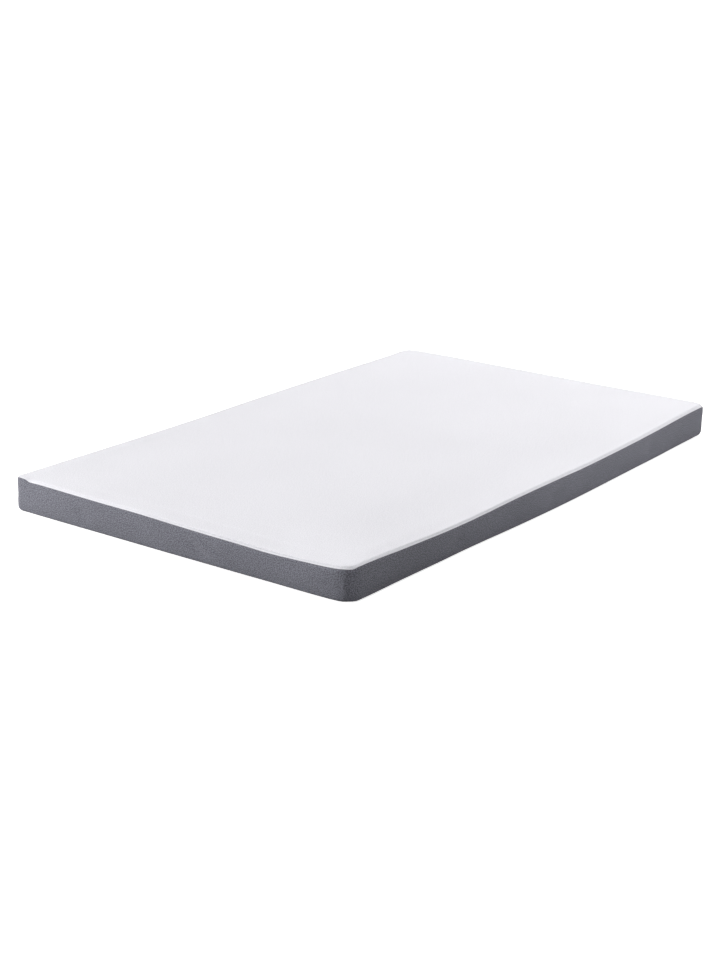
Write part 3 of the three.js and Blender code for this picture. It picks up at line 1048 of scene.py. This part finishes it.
@dataclass
class TopPanel:
    """The white top panel: a stretched cloth whose rim is turned down to the seam and stitched.

    Rows of the rim and the underside are the way out and up from the seam. `runs_in` is the way
    from the last row of the rim to the first inner ring, and then from one ring to the next.
    """

    cut: Cut
    lying: Lying
    thickness: float = 3.0
    turned: float = 6.0
    groove_out: float = -7.6
    groove_up: float = 2.8
    groove_width: float = 1.2
    gap: float = 0.3
    rim: tuple[tuple[float, float], ...] = (
        (-4.2, 0.0),
        (-2.2, 0.2),
        (-2.6, 0.85),
        (-3.8, 1.75),
        (-5.5, 2.55),
        (-6.8, 2.9),
        (-7.6, 2.8),
        (-8.9, 3.7),
        (-11.4, 5.0),
        (-15.0, 5.85),
        (-19.0, 6.15),
    )
    rim_steps: int = 3
    underside: tuple[tuple[float, float], ...] = ((-16.0, 2.2), (-9.0, 0.7))
    inner_shares: tuple[float, ...] = (0.99, 0.978, 0.965)
    grid_share: float = 0.95
    runs_in: tuple[float, float] = (7.0, 20.0)
    gathers: Ripple = Ripple(9, 30, rise=0.35, seed=53)
    gathered_up: float = 5.0
    untugged: float = 92.0
    tug_span: float = 7.0
    tugged: float = 1.6
    sunk: float = 1.1

    def tug(self, stations: Stations) -> np.ndarray:
        """How hard the stitches tug the rim, from 0 to 1: hardest where the seam lies lowest."""
        return np.clip((self.untugged - stations.seam) / self.tug_span, 0.0, 1.0)

    def puckers(self, stations: Stations) -> np.ndarray:
        """How far the rim's gathers rise where they are full: more where the stitches tug."""
        rise = self.gathers.at(stations.place, self.cut.walk.length)
        return rise * (1 + self.tugged * self.tug(stations))

    def crest(self, stations: Stations, rim: np.ndarray) -> np.ndarray:
        """Heights of the rim's rows, rolled, gathered, and sunk by the stitches.

        Args:
            stations: the sections.
            rim: the rim's smooth rows.

        Returns:
            The heights, as rows of sections.
        """
        share = np.clip(rim[:, 1] / self.gathered_up, 0, 1)[:, None]
        sunk = self.sunk * self.tug(stations) * bell(rim[:, :1] - self.groove_out, self.groove_width)
        level = stations.seam + self.gap + rim[:, 1:] * stations.roll
        return level + self.puckers(stations) * share - sunk

    def build(self) -> bpy.types.Object:
        """Makes the panel as one closed mesh: underside, turned rim with its groove, and top.

        Returns:
            The panel.
        """
        stations = self.cut.fine
        net = ClothNet(self.cut)
        rim = smooth_rows(np.array(self.rim), self.rim_steps)
        below = np.array(self.underside)
        lower = stations.seam + self.gap + below[:, 1:] * stations.roll
        inner = (1.0, *self.inner_shares)
        points = np.concatenate(
            [
                self.lying.ring(1.0, self.thickness)[None],
                stations.reach(below[:, :1], lower),
                stations.reach(rim[:, :1], self.crest(stations, rim)),
                np.array([self.lying.ring(share, 0.0) for share in inner]),
            ]
        )
        lip = 1 + len(below)
        along = ways_along(points)
        ways = along - along[lip]
        rings = net.add(points, self.tug(stations))
        nominal = ways_along(rim)
        nominal -= nominal[self.rim.index((self.groove_out, self.groove_up)) * self.rim_steps]
        inwards = nominal[-1] + self.runs_in[0] + self.runs_in[1] * np.arange(len(inner))
        runs = np.concatenate([np.full(lip, -FAR_FROM_SEAM), nominal, inwards])
        outward = stations.outward
        flat = stations.bowed + outward * (self.turned - ways)[..., None]
        flat[:lip] = stations.bowed + outward * (ways[:lip, :, None] + self.turned)
        flat[-len(inner) :] = points[-len(inner) :, :, :2]
        net.skin(rings, closed(flat), runs)
        self.lying.cap(net, rings[0], self.lying.lower_share, self.thickness, upward=False)
        self.lying.cap(net, rings[-1], self.grid_share, 0.0, upward=True)
        return net.make("top_panel_cloth")


@dataclass
class BottomPanel:
    """The grey bottom panel: flat on the floor, and turned up to the border's lower seam.

    Rows of the hem are the way out from the outline and up from the floor, and those from
    `rounded[0]` to `rounded[1]` are joined by a smooth line.
    """

    cut: Cut
    turned: float = -6.0
    inner_share: float = 0.97
    hem_reach: float = 24.0
    hem: tuple[tuple[float, float], ...] = (
        (-18.0, 0.0),
        (-13.0, 0.0),
        (-9.0, 0.7),
        (-7.3, 1.8),
        (-7.2, 2.7),
        (-10.0, 2.5),
        (-24.0, 2.5),
    )
    rounded: tuple[int, int] = (1, 4)
    hem_steps: int = 3

    def build(self) -> bpy.types.Object:
        """Makes the panel as one closed mesh.

        Returns:
            The panel.
        """
        stations = self.cut.fine
        net = ClothNet(self.cut)
        hem = np.array(self.hem)
        first, last = self.rounded
        curved = smooth_rows(hem[first : last + 1], self.hem_steps)[1:]
        line = np.concatenate([hem[: first + 1], curved, hem[last + 1 :]])
        points = stations.reach(line[:, :1] - stations.lean, np.maximum(line[:, 1:], 0.0))
        rings = net.add(points)
        steps = ways_along(line)
        flat = stations.bowed + stations.outward * (steps[:, None, None] - self.hem_reach)
        net.skin(rings, closed(flat), steps + FAR_FROM_SEAM)
        for end, upward in ((0, False), (-1, True)):
            net.close_level(rings[end], points[end], self.inner_share, upward)
        return net.make("bottom_panel_cloth")


@dataclass
class RimStitches:
    """The row of stitches in the groove behind the turned rim: short arched lengths of thread."""

    cut: Cut
    panel: TopPanel
    pitch: float = STITCH_PITCH
    length: float = 3.0
    thread: float = 0.34
    taper: float = 0.9
    arch: float = 0.3
    around: int = 6
    steps: int = 5

    def build(self) -> bpy.types.Object:
        """Makes the stitches as one mesh of small closed tubes.

        A stitch is a grid of two parameters: the way along it, and the angle round the thread.
        The thread's radius falls to a little at both ends, and its middle line is an arch.

        Returns:
            The stitches.
        """
        walk, panel = self.cut.walk, self.panel
        count = int(walk.length // self.pitch)
        places = np.arange(count) * walk.length / count
        stations = self.cut.curve.stations(places)
        lift = panel.puckers(stations) * panel.groove_up / panel.gathered_up
        lift = lift - panel.sunk * panel.tug(stations) + self.thread / 2
        level = stations.seam + panel.gap + panel.groove_up * stations.roll + lift
        base = stations.reach(panel.groove_out, level)
        tangent = np.stack([-stations.outward[:, 1], stations.outward[:, 0], 0 * places], axis=-1)
        outward = np.stack([*stations.outward.T, 0 * places], axis=-1)
        along = np.linspace(-1, 1, self.steps)
        angle = np.linspace(0, TURN, self.around, endpoint=False)
        radius = self.thread * np.sqrt(np.clip(1 - self.taper * along**4, 0, 1))
        arched = self.arch * (1 - along**2)
        grid = base[:, None, None] + tangent[:, None, None] * (along[:, None, None] * self.length / 2)
        grid = grid + outward[:, None, None] * (radius[:, None] * np.cos(angle))[..., None]
        rise = arched[:, None] + radius[:, None] * np.sin(angle)
        grid = grid + np.array([0.0, 0.0, 1.0]) * rise[..., None]
        index = np.arange(grid.size // 3).reshape(grid.shape[:-1])
        after = np.roll(index, -1, axis=2)
        tubes = np.stack([index[:, :-1], index[:, 1:], after[:, 1:], after[:, :-1]], axis=-1)
        ends = np.concatenate([index[:, 0], index[:, -1, ::-1]])
        points = grid.reshape(-1, 3)
        points[:, :2] -= self.cut.middle
        faces = tubes.reshape(-1, 4).tolist() + ends.tolist()
        made = add_mesh("rim_stitches", points * MM, faces)
        made.data.shade_smooth()
        made.data.validate()
        return made


@dataclass
class Wiring:
    """A node tree that is being wired up."""

    tree: bpy.types.NodeTree

    def feed(self, node: bpy.types.Node, inputs: dict) -> None:
        """Links or sets the inputs of a node.

        Args:
            node: the node.
            inputs: a socket to link or a value to set, for each input's name or number.
        """
        for key, value in inputs.items():
            if isinstance(value, Socket):
                self.tree.links.new(value, node.inputs[key])
            else:
                node.inputs[key].default_value = value

    def node(self, kind: str, inputs: dict | None = None, **settings: object) -> bpy.types.Node:
        """Adds a node.

        Args:
            kind: the node's type.
            inputs: a socket to link or a value to set, for each input's name or number.
            **settings: the node's options.

        Returns:
            The node.
        """
        made = self.tree.nodes.new(kind)
        for name, value in settings.items():
            setattr(made, name, value)
        self.feed(made, inputs or {})
        return made

    def math(self, operation: str, *values: object) -> Socket:
        """The result of a Math node on sockets or numbers."""
        return self.node("ShaderNodeMath", dict(enumerate(values)), operation=operation).outputs[0]

    def vector(self, operation: str, inputs: dict) -> Socket:
        """The result of a Vector Math node on its inputs."""
        return self.node("ShaderNodeVectorMath", inputs, operation=operation).outputs[0]

    def noise(self, vector: Socket, scale: object, detail: float, roughness: float = 0.5) -> Socket:
        """A noise texture's value."""
        inputs = {"Vector": vector, "Scale": scale, "Detail": detail, "Roughness": roughness}
        return self.node("ShaderNodeTexNoise", inputs).outputs["Fac"]

    def span(self, value: Socket, source: tuple[float, float], target: tuple[float, float]) -> Socket:
        """A value carried smoothly from one range to another, and held at its ends."""
        inputs = {"Value": value, 1: source[0], 2: source[1], 3: target[0], 4: target[1]}
        return self.node("ShaderNodeMapRange", inputs, interpolation_type="SMOOTHSTEP").outputs[0]

    def grey(self, tone: Socket) -> Socket:
        """A grey of a tone."""
        return self.node("ShaderNodeCombineColor", {0: tone, 1: tone, 2: tone}).outputs[0]

    def mix(self, factor: object, first: object, second: object, blend: str = "MIX") -> Socket:
        """Mixes two colours.

        Args:
            factor: the share of the second, as a socket or a number.
            first: a colour, as a socket or as its three parts.
            second: another.
            blend: how they are mixed.

        Returns:
            The mixed colour.
        """
        inputs = {0: factor}
        for number, value in ((6, first), (7, second)):
            inputs[number] = value if isinstance(value, Socket) else (*value, 1.0)
        mixed = self.node("ShaderNodeMix", inputs, data_type="RGBA", blend_type=blend)
        return mixed.outputs[2]

    def bump(self, height: Socket, strength: float, distance: float, **more: Socket) -> Socket:
        """A normal bumped by a height, on top of another if one is given as `Normal`."""
        inputs = {"Strength": strength, "Distance": distance, "Height": height, **more}
        return self.node("ShaderNodeBump", inputs).outputs[0]


def new_material(name: str) -> tuple[bpy.types.Material, Wiring, bpy.types.Node]:
    """A new material, its wiring and its shader."""
    material = bpy.data.materials.new(name)
    material.use_nodes = True
    return material, Wiring(material.node_tree), material.node_tree.nodes["Principled BSDF"]


@dataclass
class SharedEffects:
    """The effects that several cloths use, each a node group that is built once.

    `drift` is the scale of the noise that lets the stitches wander. `lag` is how much later a
    leg of a stitch starts at its far side. `strand` is how far the yarn dips from stitch to
    stitch, and `ridge` how sharp a wale is. A streak is `drawn_out` over its width, and the
    yarn is `streaked` by a share.
    """

    drift: float = 60.0
    lag: float = 1.3
    strand: float = 0.3
    ridge: float = 0.7
    drawn_out: float = 0.16
    streaked: float = 0.15
    heather: tuple[float, float] = (0.36, 0.64)
    clouded: tuple[float, float] = (0.3, 0.7)
    rubbed: tuple[float, float] = (0.5, 0.75)

    def group(
        self, name: str, inputs: dict[str, float | None], outputs: tuple[str, ...]
    ) -> tuple[Wiring, bpy.types.Node, bpy.types.Node]:
        """Starts a node group.

        Args:
            name: its name.
            inputs: a number for each input, or none for the vector.
            outputs: the names of its outputs.

        Returns:
            Its wiring, and its input and output nodes.
        """
        tree = bpy.data.node_groups.new(name, "ShaderNodeTree")
        for label, value in inputs.items():
            kind = "NodeSocketVector" if value is None else "NodeSocketFloat"
            socket = tree.interface.new_socket(name=label, in_out="INPUT", socket_type=kind)
            if value is not None:
                socket.default_value = value
        for label in outputs:
            tree.interface.new_socket(name=label, in_out="OUTPUT", socket_type="NodeSocketFloat")
        wiring = Wiring(tree)
        return wiring, wiring.node("NodeGroupInput"), wiring.node("NodeGroupOutput")

    @cached_property
    def knit(self) -> bpy.types.NodeTree:
        """Jersey stitches in relief, over a flat cut in metres.

        Across a wale, the ridge is a half sine that peaks on each leg of the stitches. Along it,
        a cosine that is later by the way from the wale's middle makes each pair of legs a V.

        Returns:
            The group's tree.
        """
        sockets = {"Vector": None, "Wale": 0.0012, "Course": 0.0011, "Drift": 0.0004}
        wiring, given, result = self.group("jersey_stitches", sockets, ("Height", "Gap"))
        vector = given.outputs["Vector"]
        noise = {"Vector": vector, "Scale": self.drift, "Detail": 2.0}
        drift = wiring.node("ShaderNodeTexNoise", noise).outputs["Color"]
        centred = wiring.vector("SUBTRACT", {0: drift, 1: (0.5, 0.5, 0.5)})
        moved = wiring.vector("SCALE", {0: centred, "Scale": given.outputs["Drift"]})
        place = wiring.vector("ADD", {0: vector, 1: moved})
        parts = wiring.node("ShaderNodeSeparateXYZ", {0: place})
        wales = wiring.math("DIVIDE", parts.outputs[0], given.outputs["Wale"])
        courses = wiring.math("DIVIDE", parts.outputs[1], given.outputs["Course"])
        aside = wiring.math("PINGPONG", wales, 0.5)
        leg = wiring.math("SINE", wiring.math("MULTIPLY", aside, TURN))
        late = wiring.math("MULTIPLY_ADD", aside, -self.lag, courses)
        yarn = wiring.math("COSINE", wiring.math("MULTIPLY", late, TURN))
        body = wiring.math("MULTIPLY_ADD", yarn, self.strand, 1.0 - self.strand)
        wale = wiring.math("POWER", wiring.math("ABSOLUTE", leg), self.ridge)
        height = wiring.math("MULTIPLY", wale, body)
        wiring.feed(result, {"Height": height, "Gap": wiring.math("SUBTRACT", 1.0, height)})
        return wiring.tree

    @cached_property
    def yarn(self) -> bpy.types.NodeTree:
        """Heathered yarn: fine speckle and short streaks along the wales, from two noises.

        Returns:
            The group's tree.
        """
        sockets = {"Vector": None, "Speckle": 340.0, "Streak": 300.0}
        wiring, given, result = self.group("heathered_yarn", sockets, ("Fac",))
        vector = given.outputs["Vector"]
        speckle = wiring.noise(vector, given.outputs["Speckle"], 2.0)
        scaled = {"Vector": vector, "Scale": (1.0, self.drawn_out, 1.0)}
        long = wiring.node("ShaderNodeMapping", scaled).outputs["Vector"]
        streak = wiring.noise(long, given.outputs["Streak"], 3.0)
        share = wiring.math("MULTIPLY", streak, self.streaked)
        both = wiring.math("MULTIPLY_ADD", speckle, 1.0 - self.streaked, share)
        wiring.feed(result, {"Fac": wiring.span(both, self.heather, (0.0, 1.0))})
        return wiring.tree

    @cached_property
    def handling(self) -> bpy.types.NodeTree:
        """Soft marks of use: broad cloudy tone, and faint rubbed patches.

        Returns:
            The group's tree.
        """
        sockets = {"Vector": None, "Broad": 3.0, "Patch": 14.0}
        wiring, given, result = self.group("soft_handling", sockets, ("Cloud", "Rub"))
        cloud = wiring.noise(given.outputs["Vector"], given.outputs["Broad"], 3.0)
        patch = wiring.noise(given.outputs["Vector"], given.outputs["Patch"], 4.0)
        tones = {
            "Cloud": wiring.span(cloud, self.clouded, (0.0, 1.0)),
            "Rub": wiring.span(patch, self.rubbed, (0.0, 1.0)),
        }
        wiring.feed(result, tones)
        return wiring.tree


@dataclass(frozen=True)
class PaintedNeedleLineShade:
    """Painted shade where shadow falls in the stitched groove: a band along it, darker at each needle
    hole.
    """

    band: tuple[float, float] = (0.4 * MM, 1.8 * MM)
    holes: float = 0.6
    gape: float = 75.0
    gaping: tuple[float, float] = (0.38, 0.62)
    least: float = 0.25
    tugged: float = 0.8

    def shade(self, wiring: Wiring, strength: float) -> Socket:
        """The painted shade over the cloth.

        The band falls off smoothly on both sides of the groove. A squared cosine marks the
        holes, and slow noise and the stitches' tug make some of them gape more than others.

        Args:
            wiring: the material's wiring.
            strength: the painted shade in a hole that gapes most.

        Returns:
            The painted shade, from 0 to 1.
        """
        run = wiring.node("ShaderNodeUVMap", uv_map=RUN_NAME).outputs["UV"]
        parts = wiring.node("ShaderNodeSeparateXYZ", {0: run})
        band = wiring.span(wiring.math("ABSOLUTE", parts.outputs[1]), self.band, (1.0, 0.0))
        turned = wiring.math("MULTIPLY", parts.outputs[0], math.pi / STITCH_PITCH / MM)
        wave = wiring.math("POWER", wiring.math("COSINE", turned), 2.0)
        holes = wiring.math("MULTIPLY_ADD", wave, self.holes, 1.0 - self.holes)
        along = wiring.node("ShaderNodeCombineXYZ", {0: parts.outputs[0]}).outputs[0]
        gape = wiring.span(wiring.noise(along, self.gape, 2.0), self.gaping, (self.least, 1.0))
        tug = wiring.node("ShaderNodeAttribute", attribute_name=TUG_NAME, attribute_type="GEOMETRY")
        pulled = wiring.math("MULTIPLY_ADD", tug.outputs["Fac"], self.tugged, 1.0 - self.tugged)
        pulled = wiring.math("MULTIPLY", wiring.math("MULTIPLY", pulled, strength), gape)
        return wiring.math("MULTIPLY", wiring.math("MULTIPLY", band, holes), pulled)


@dataclass(frozen=True)
class KnitFinish:
    """A knitted cloth: its yarn's colours, its stitches and how it takes the light.

    Stitches and relief are in metres. The gaps between stitches and the stitched groove get painted
    shade, where shadow falls: their colour is toned down to a share of the dark yarn.
    """

    name: str
    dark: Colour
    light: Colour
    wale: float = 0.0012
    course: float = 0.0011
    relief: float = 0.00025
    relief_strength: float = 0.8
    fibre: float = 0.00012
    fibre_strength: float = 0.7
    fibre_scale: float = 1400.0
    # painted shade in the gaps between stitches: its strength, sharpness and colour
    gap_shade: float = 0.25
    gap_power: float = 3.0
    gap_tone: float = 0.45
    cloud: float = 0.05
    # strength and colour of the painted shade in the stitched groove
    groove: float = 0.0
    groove_tone: float = 0.3
    roughness: float = 0.9
    rubbed: float = 0.06
    sheen: float = 0.15
    sheen_roughness: float = 0.5
    specular: float = 0.25

    def toned(self, share: float) -> Colour:
        """The dark yarn's colour, toned down to a share, as the colour of painted shade."""
        return tuple(share * part for part in self.dark)

    def make(self, effects: SharedEffects) -> bpy.types.Material:
        """Builds the material.

        Args:
            effects: the shared node groups.

        Returns:
            The material.
        """
        material, wiring, shader = new_material(self.name)
        cut = wiring.node("ShaderNodeUVMap", uv_map=UV_NAME).outputs["UV"]
        spot = wiring.node("ShaderNodeTexCoord").outputs["Object"]
        stitches = {"Vector": cut, "Wale": self.wale, "Course": self.course}
        knit = wiring.node("ShaderNodeGroup", stitches, node_tree=effects.knit)
        yarn = wiring.node("ShaderNodeGroup", {"Vector": cut}, node_tree=effects.yarn)
        handling = wiring.node("ShaderNodeGroup", {"Vector": spot}, node_tree=effects.handling)
        colour = wiring.mix(yarn.outputs["Fac"], self.dark, self.light)
        # painted shade in the gaps between stitches
        gaps = wiring.math("POWER", knit.outputs["Gap"], self.gap_power)
        gaps = wiring.math("MULTIPLY", gaps, self.gap_shade)
        colour = wiring.mix(gaps, colour, self.toned(self.gap_tone))
        cloud = handling.outputs["Cloud"]
        tone = wiring.math("MULTIPLY_ADD", cloud, self.cloud, 1.0 - self.cloud / 2)
        colour = wiring.mix(1.0, colour, wiring.grey(tone), "MULTIPLY")
        # painted shade along the stitched groove, darker at the needle holes
        if self.groove:
            shade = PaintedNeedleLineShade().shade(wiring, self.groove)
            colour = wiring.mix(shade, colour, self.toned(self.groove_tone))
        rough = wiring.math("MULTIPLY_ADD", handling.outputs["Rub"], -self.rubbed, self.roughness)
        raised = wiring.bump(knit.outputs["Height"], self.relief_strength, self.relief)
        fuzz = wiring.noise(cut, self.fibre_scale, 3.0, 0.6)
        normal = wiring.bump(fuzz, self.fibre_strength, self.fibre, Normal=raised)
        looks = {
            "Base Color": colour,
            "Roughness": rough,
            "Normal": normal,
            "Specular IOR Level": self.specular,
            "Sheen Weight": self.sheen,
            "Sheen Roughness": self.sheen_roughness,
        }
        wiring.feed(shader, looks)
        return material


@dataclass(frozen=True)
class ThreadFinish:
    """Twisted sewing thread, with its twist and relief in metres."""

    name: str
    dark: Colour
    light: Colour
    twist: float = 0.0006
    wander: float = 0.4
    relief: float = 0.00008
    relief_strength: float = 0.6
    roughness: float = 0.7
    rubbed: float = 0.1
    specular: float = 0.3
    sheen: float = 0.1

    def make(self, effects: SharedEffects) -> bpy.types.Material:
        """Builds the material: slanted plies as bands along the thread, with handled roughness.

        Args:
            effects: the shared node groups.

        Returns:
            The material.
        """
        material, wiring, shader = new_material(self.name)
        spot = wiring.node("ShaderNodeTexCoord").outputs["Object"]
        handling = wiring.node("ShaderNodeGroup", {"Vector": spot}, node_tree=effects.handling)
        inputs = {"Vector": spot, "Scale": 1 / self.twist / TURN, "Distortion": self.wander}
        plies = wiring.node("ShaderNodeTexWave", inputs, bands_direction="DIAGONAL").outputs["Fac"]
        rub = handling.outputs["Rub"]
        looks = {
            "Base Color": wiring.mix(plies, self.dark, self.light),
            "Roughness": wiring.math("MULTIPLY_ADD", rub, -self.rubbed, self.roughness),
            "Normal": wiring.bump(plies, self.relief_strength, self.relief),
            "Specular IOR Level": self.specular,
            "Sheen Weight": self.sheen,
        }
        wiring.feed(shader, looks)
        return material


WHITE_KNIT = KnitFinish(
    "white jersey knit",
    dark=(0.65, 0.645, 0.681),
    light=(0.766, 0.76, 0.795),
    relief=0.00022,
    gap_shade=0.12,
    cloud=0.02,
    # strength of the painted shade in the stitched groove
    groove=0.5,
    sheen=0.2,
)
GREY_CLOTH = KnitFinish(
    "grey border knit",
    dark=(0.0847, 0.0872, 0.1054),
    light=(0.2393, 0.2396, 0.2791),
    wale=0.0014,
    course=0.0012,
    relief=0.0003,
    gap_shade=0.3,
    cloud=0.1,
    sheen=0.12,
)
GREY_BASE = KnitFinish(
    "grey base cloth",
    dark=(0.105, 0.11, 0.126),
    light=(0.175, 0.182, 0.203),
    wale=0.001,
    course=0.001,
    relief=0.0002,
    gap_shade=0.35,
    cloud=0.12,
    sheen=0.08,
)
WHITE_THREAD = ThreadFinish("white sewing thread", dark=(0.6, 0.6, 0.63), light=(0.8, 0.8, 0.83))


def add_lamp(name: str, kind: str, way: Vector, **settings: object) -> bpy.types.Object:
    """Adds a lamp.

    Args:
        name: its name.
        kind: its type.
        way: the direction that its light comes from.
        **settings: the lamp's options.

    Returns:
        The lamp.
    """
    light = bpy.data.lights.new(name, kind)
    for label, value in settings.items():
        setattr(light, label, value)
    made = add_object(name, light)
    made.rotation_euler = way.to_track_quat("Z", "Y").to_euler()
    return made


@dataclass(frozen=True)
class SoftLamp:
    """A wide, soft sun of the studio: where it stands, seen from the mattress, and its strength."""

    name: str
    azimuth: float
    elevation: float
    spread: float
    strength: float

    def build(self) -> None:
        """Makes the lamp, pointing at the origin."""
        way = toward(self.azimuth, self.elevation)
        add_lamp(self.name, "SUN", way, energy=self.strength, angle=math.radians(self.spread))


@dataclass(frozen=True)
class SoftBox:
    """A square soft box near the mattress: its place, what it points at, its side and power."""

    name: str
    place: tuple[float, float, float]
    target: tuple[float, float, float]
    side: float
    power: float

    def build(self) -> None:
        """Makes the soft box."""
        way = Vector(self.place) - Vector(self.target)
        made = add_lamp(self.name, "AREA", way, shape="SQUARE", size=self.side, energy=self.power)
        made.location = self.place


@dataclass
class Studio:
    """The plain pale floor, the soft light and the camera at the photograph's angle.

    Lengths are in metres, and the lens in millimetres. The floor is `floor_tone` bright, varies
    by a little in soft clouds, and glows to the camera, while `bounce` is what it hands back.
    """

    target: tuple[float, float, float] = (0.0032, -0.1278, 0.0014)
    azimuth: float = 36.95
    elevation: float = 18.28
    roll: float = 0.41
    distance: float = 5.811
    lens: float = 73.2
    sensor: float = 36.0
    farthest: float = 500.0
    floor_half: float = 150.0
    floor_level: float = -0.0001
    floor_tone: float = 0.9
    floor_vary: float = 0.005
    floor_clouds: float = 2.0
    floor_cloud_range: tuple[float, float] = (0.3, 0.7)
    floor_roughness: float = 0.9
    floor_specular: float = 0.1
    bounce: float = 0.65
    glow: float = 0.85
    white: tuple[float, ...] = (1.0, 1.0, 1.0, 1.0)
    lamps: tuple[SoftLamp | SoftBox, ...] = (
        SoftLamp("over", azimuth=0.0, elevation=88.0, spread=70.0, strength=1.54),
        SoftLamp("back", azimuth=180.0, elevation=40.0, spread=50.0, strength=0.76),
        SoftLamp("left", azimuth=-90.0, elevation=38.0, spread=50.0, strength=1.33),
        SoftLamp("low left", azimuth=-55.0, elevation=20.0, spread=40.0, strength=1.035),
        SoftLamp("low front", azimuth=-10.0, elevation=20.0, spread=40.0, strength=0.455),
        SoftBox("wide left", place=(-2.6, -2.6, 0.8), target=(-0.55, -0.95, 0.05), side=1.2, power=26.6),
        SoftBox("near left", place=(-1.0, -2.1, 0.4), target=(-0.55, -0.95, 0.05), side=0.6, power=7.1),
        SoftBox("low right", place=(2.0, 0.6, 0.3), target=(0.6, 0.5, 0.05), side=1.0, power=13),
        SoftBox("behind", place=(-0.2, 2.6, 1.4), target=(-0.2, 0.6, 0.1), side=1.5, power=17.4),
    )

    def build(self) -> None:
        """Makes the floor, lamps, sky and camera."""
        self.floor()
        for lamp in self.lamps:
            lamp.build()
        self.sky()
        bpy.context.scene.view_settings.view_transform = "Standard"
        self.camera()

    def sky(self) -> None:
        """A sky that is white to the camera and gives no light of its own."""
        world = bpy.data.worlds.new("soft sky")
        world.use_nodes = True
        world.cycles.sampling_method = "NONE"
        wiring = Wiring(world.node_tree)
        seen = wiring.node("ShaderNodeLightPath").outputs["Is Camera Ray"]
        wiring.feed(world.node_tree.nodes["Background"], {"Color": self.white, "Strength": seen})
        bpy.context.scene.world = world

    def floor(self) -> None:
        """A wide level plane, white to the camera, that hands less light back to the mattress."""
        corners = np.array([[-1, -1], [1, -1], [1, 1], [-1, 1]], float) * self.floor_half
        points = np.column_stack([corners, np.full(4, self.floor_level)])
        plane = add_mesh("floor", points, [[0, 1, 2, 3]])
        material, wiring, bright = new_material("pale floor")
        spot = wiring.node("ShaderNodeTexCoord").outputs["Object"]
        clouds = wiring.noise(spot, self.floor_clouds, 3.0)
        tones = (self.floor_tone - self.floor_vary, self.floor_tone)
        looks = {
            "Base Color": wiring.grey(wiring.span(clouds, self.floor_cloud_range, tones)),
            "Roughness": self.floor_roughness,
            "Specular IOR Level": self.floor_specular,
            "Emission Color": self.white,
            "Emission Strength": self.glow,
        }
        wiring.feed(bright, looks)
        dim = wiring.node("ShaderNodeBsdfDiffuse", {"Color": (*[self.bounce] * 3, 1.0)})
        seen = wiring.node("ShaderNodeLightPath").outputs["Is Camera Ray"]
        mixed = wiring.node("ShaderNodeMixShader", {0: seen, 1: dim.outputs[0], 2: bright.outputs[0]})
        wiring.feed(material.node_tree.nodes["Material Output"], {"Surface": mixed.outputs[0]})
        plane.data.materials.append(material)

    def camera(self) -> None:
        """Sets the camera on a sphere round its target, looking at it, and rolled a little."""
        azimuth, roll = math.radians(self.azimuth), math.radians(self.roll)
        back = toward(self.azimuth, self.elevation)
        right = Vector((math.cos(azimuth), math.sin(azimuth), 0.0))
        up = back.cross(right)
        turned_right = right * math.cos(roll) + up * math.sin(roll)
        turned_up = up * math.cos(roll) - right * math.sin(roll)
        lens = bpy.data.cameras.new("photo view")
        lens.sensor_width = self.sensor
        lens.lens = self.lens
        lens.clip_end = self.farthest
        camera = add_object("photo view", lens)
        place = Vector(self.target) + back * self.distance
        columns = Matrix((turned_right, turned_up, back)).transposed().to_4x4()
        camera.matrix_world = Matrix.Translation(place) @ columns
        bpy.context.scene.camera = camera


@dataclass
class Mattress:
    """The whole mattress: body, top, base and stitches, dressed."""

    cut: Cut = field(default_factory=lambda: Cut(Walk()))
    effects: SharedEffects = field(default_factory=SharedEffects)

    def dress(self, piece: bpy.types.Object, finish: KnitFinish | ThreadFinish) -> None:
        """Gives a piece its material, and lets it ride on the body."""
        piece.data.materials.append(finish.make(self.effects))
        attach(piece, BODY)

    def build(self) -> list[bpy.types.Object]:
        """Builds the pieces from the body outwards.

        Returns:
            The pieces.
        """
        lying = Lying(self.cut)
        border = BorderBody(self.cut, lying)
        self.cut.middle = border.middle(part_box("border_body"))
        body = border.build()
        self.dress(body, GREY_CLOTH)
        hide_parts("border_body")
        panel = TopPanel(self.cut, lying)
        top = panel.build()
        self.dress(top, WHITE_KNIT)
        top_size = self.cut.walk.flat_size(panel.turned)
        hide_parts("top_panel")
        base_panel = BottomPanel(self.cut)
        base = base_panel.build()
        self.dress(base, GREY_BASE)
        base_size = self.cut.walk.flat_size(base_panel.turned)
        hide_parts("bottom_panel")
        stitches = RimStitches(self.cut, panel).build()
        self.dress(stitches, WHITE_THREAD)
        return [body, top, base, stitches]


def main() -> None:
    """Builds the studio and the mattress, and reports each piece."""
    logging.basicConfig(level=logging.INFO, format="%(name)s: %(message)s")
    Studio().build()
    for piece in Mattress().build():
        LOG.info("%s: %d faces", piece.name, len(piece.data.polygons))


if __name__ == "__main__":
    main()
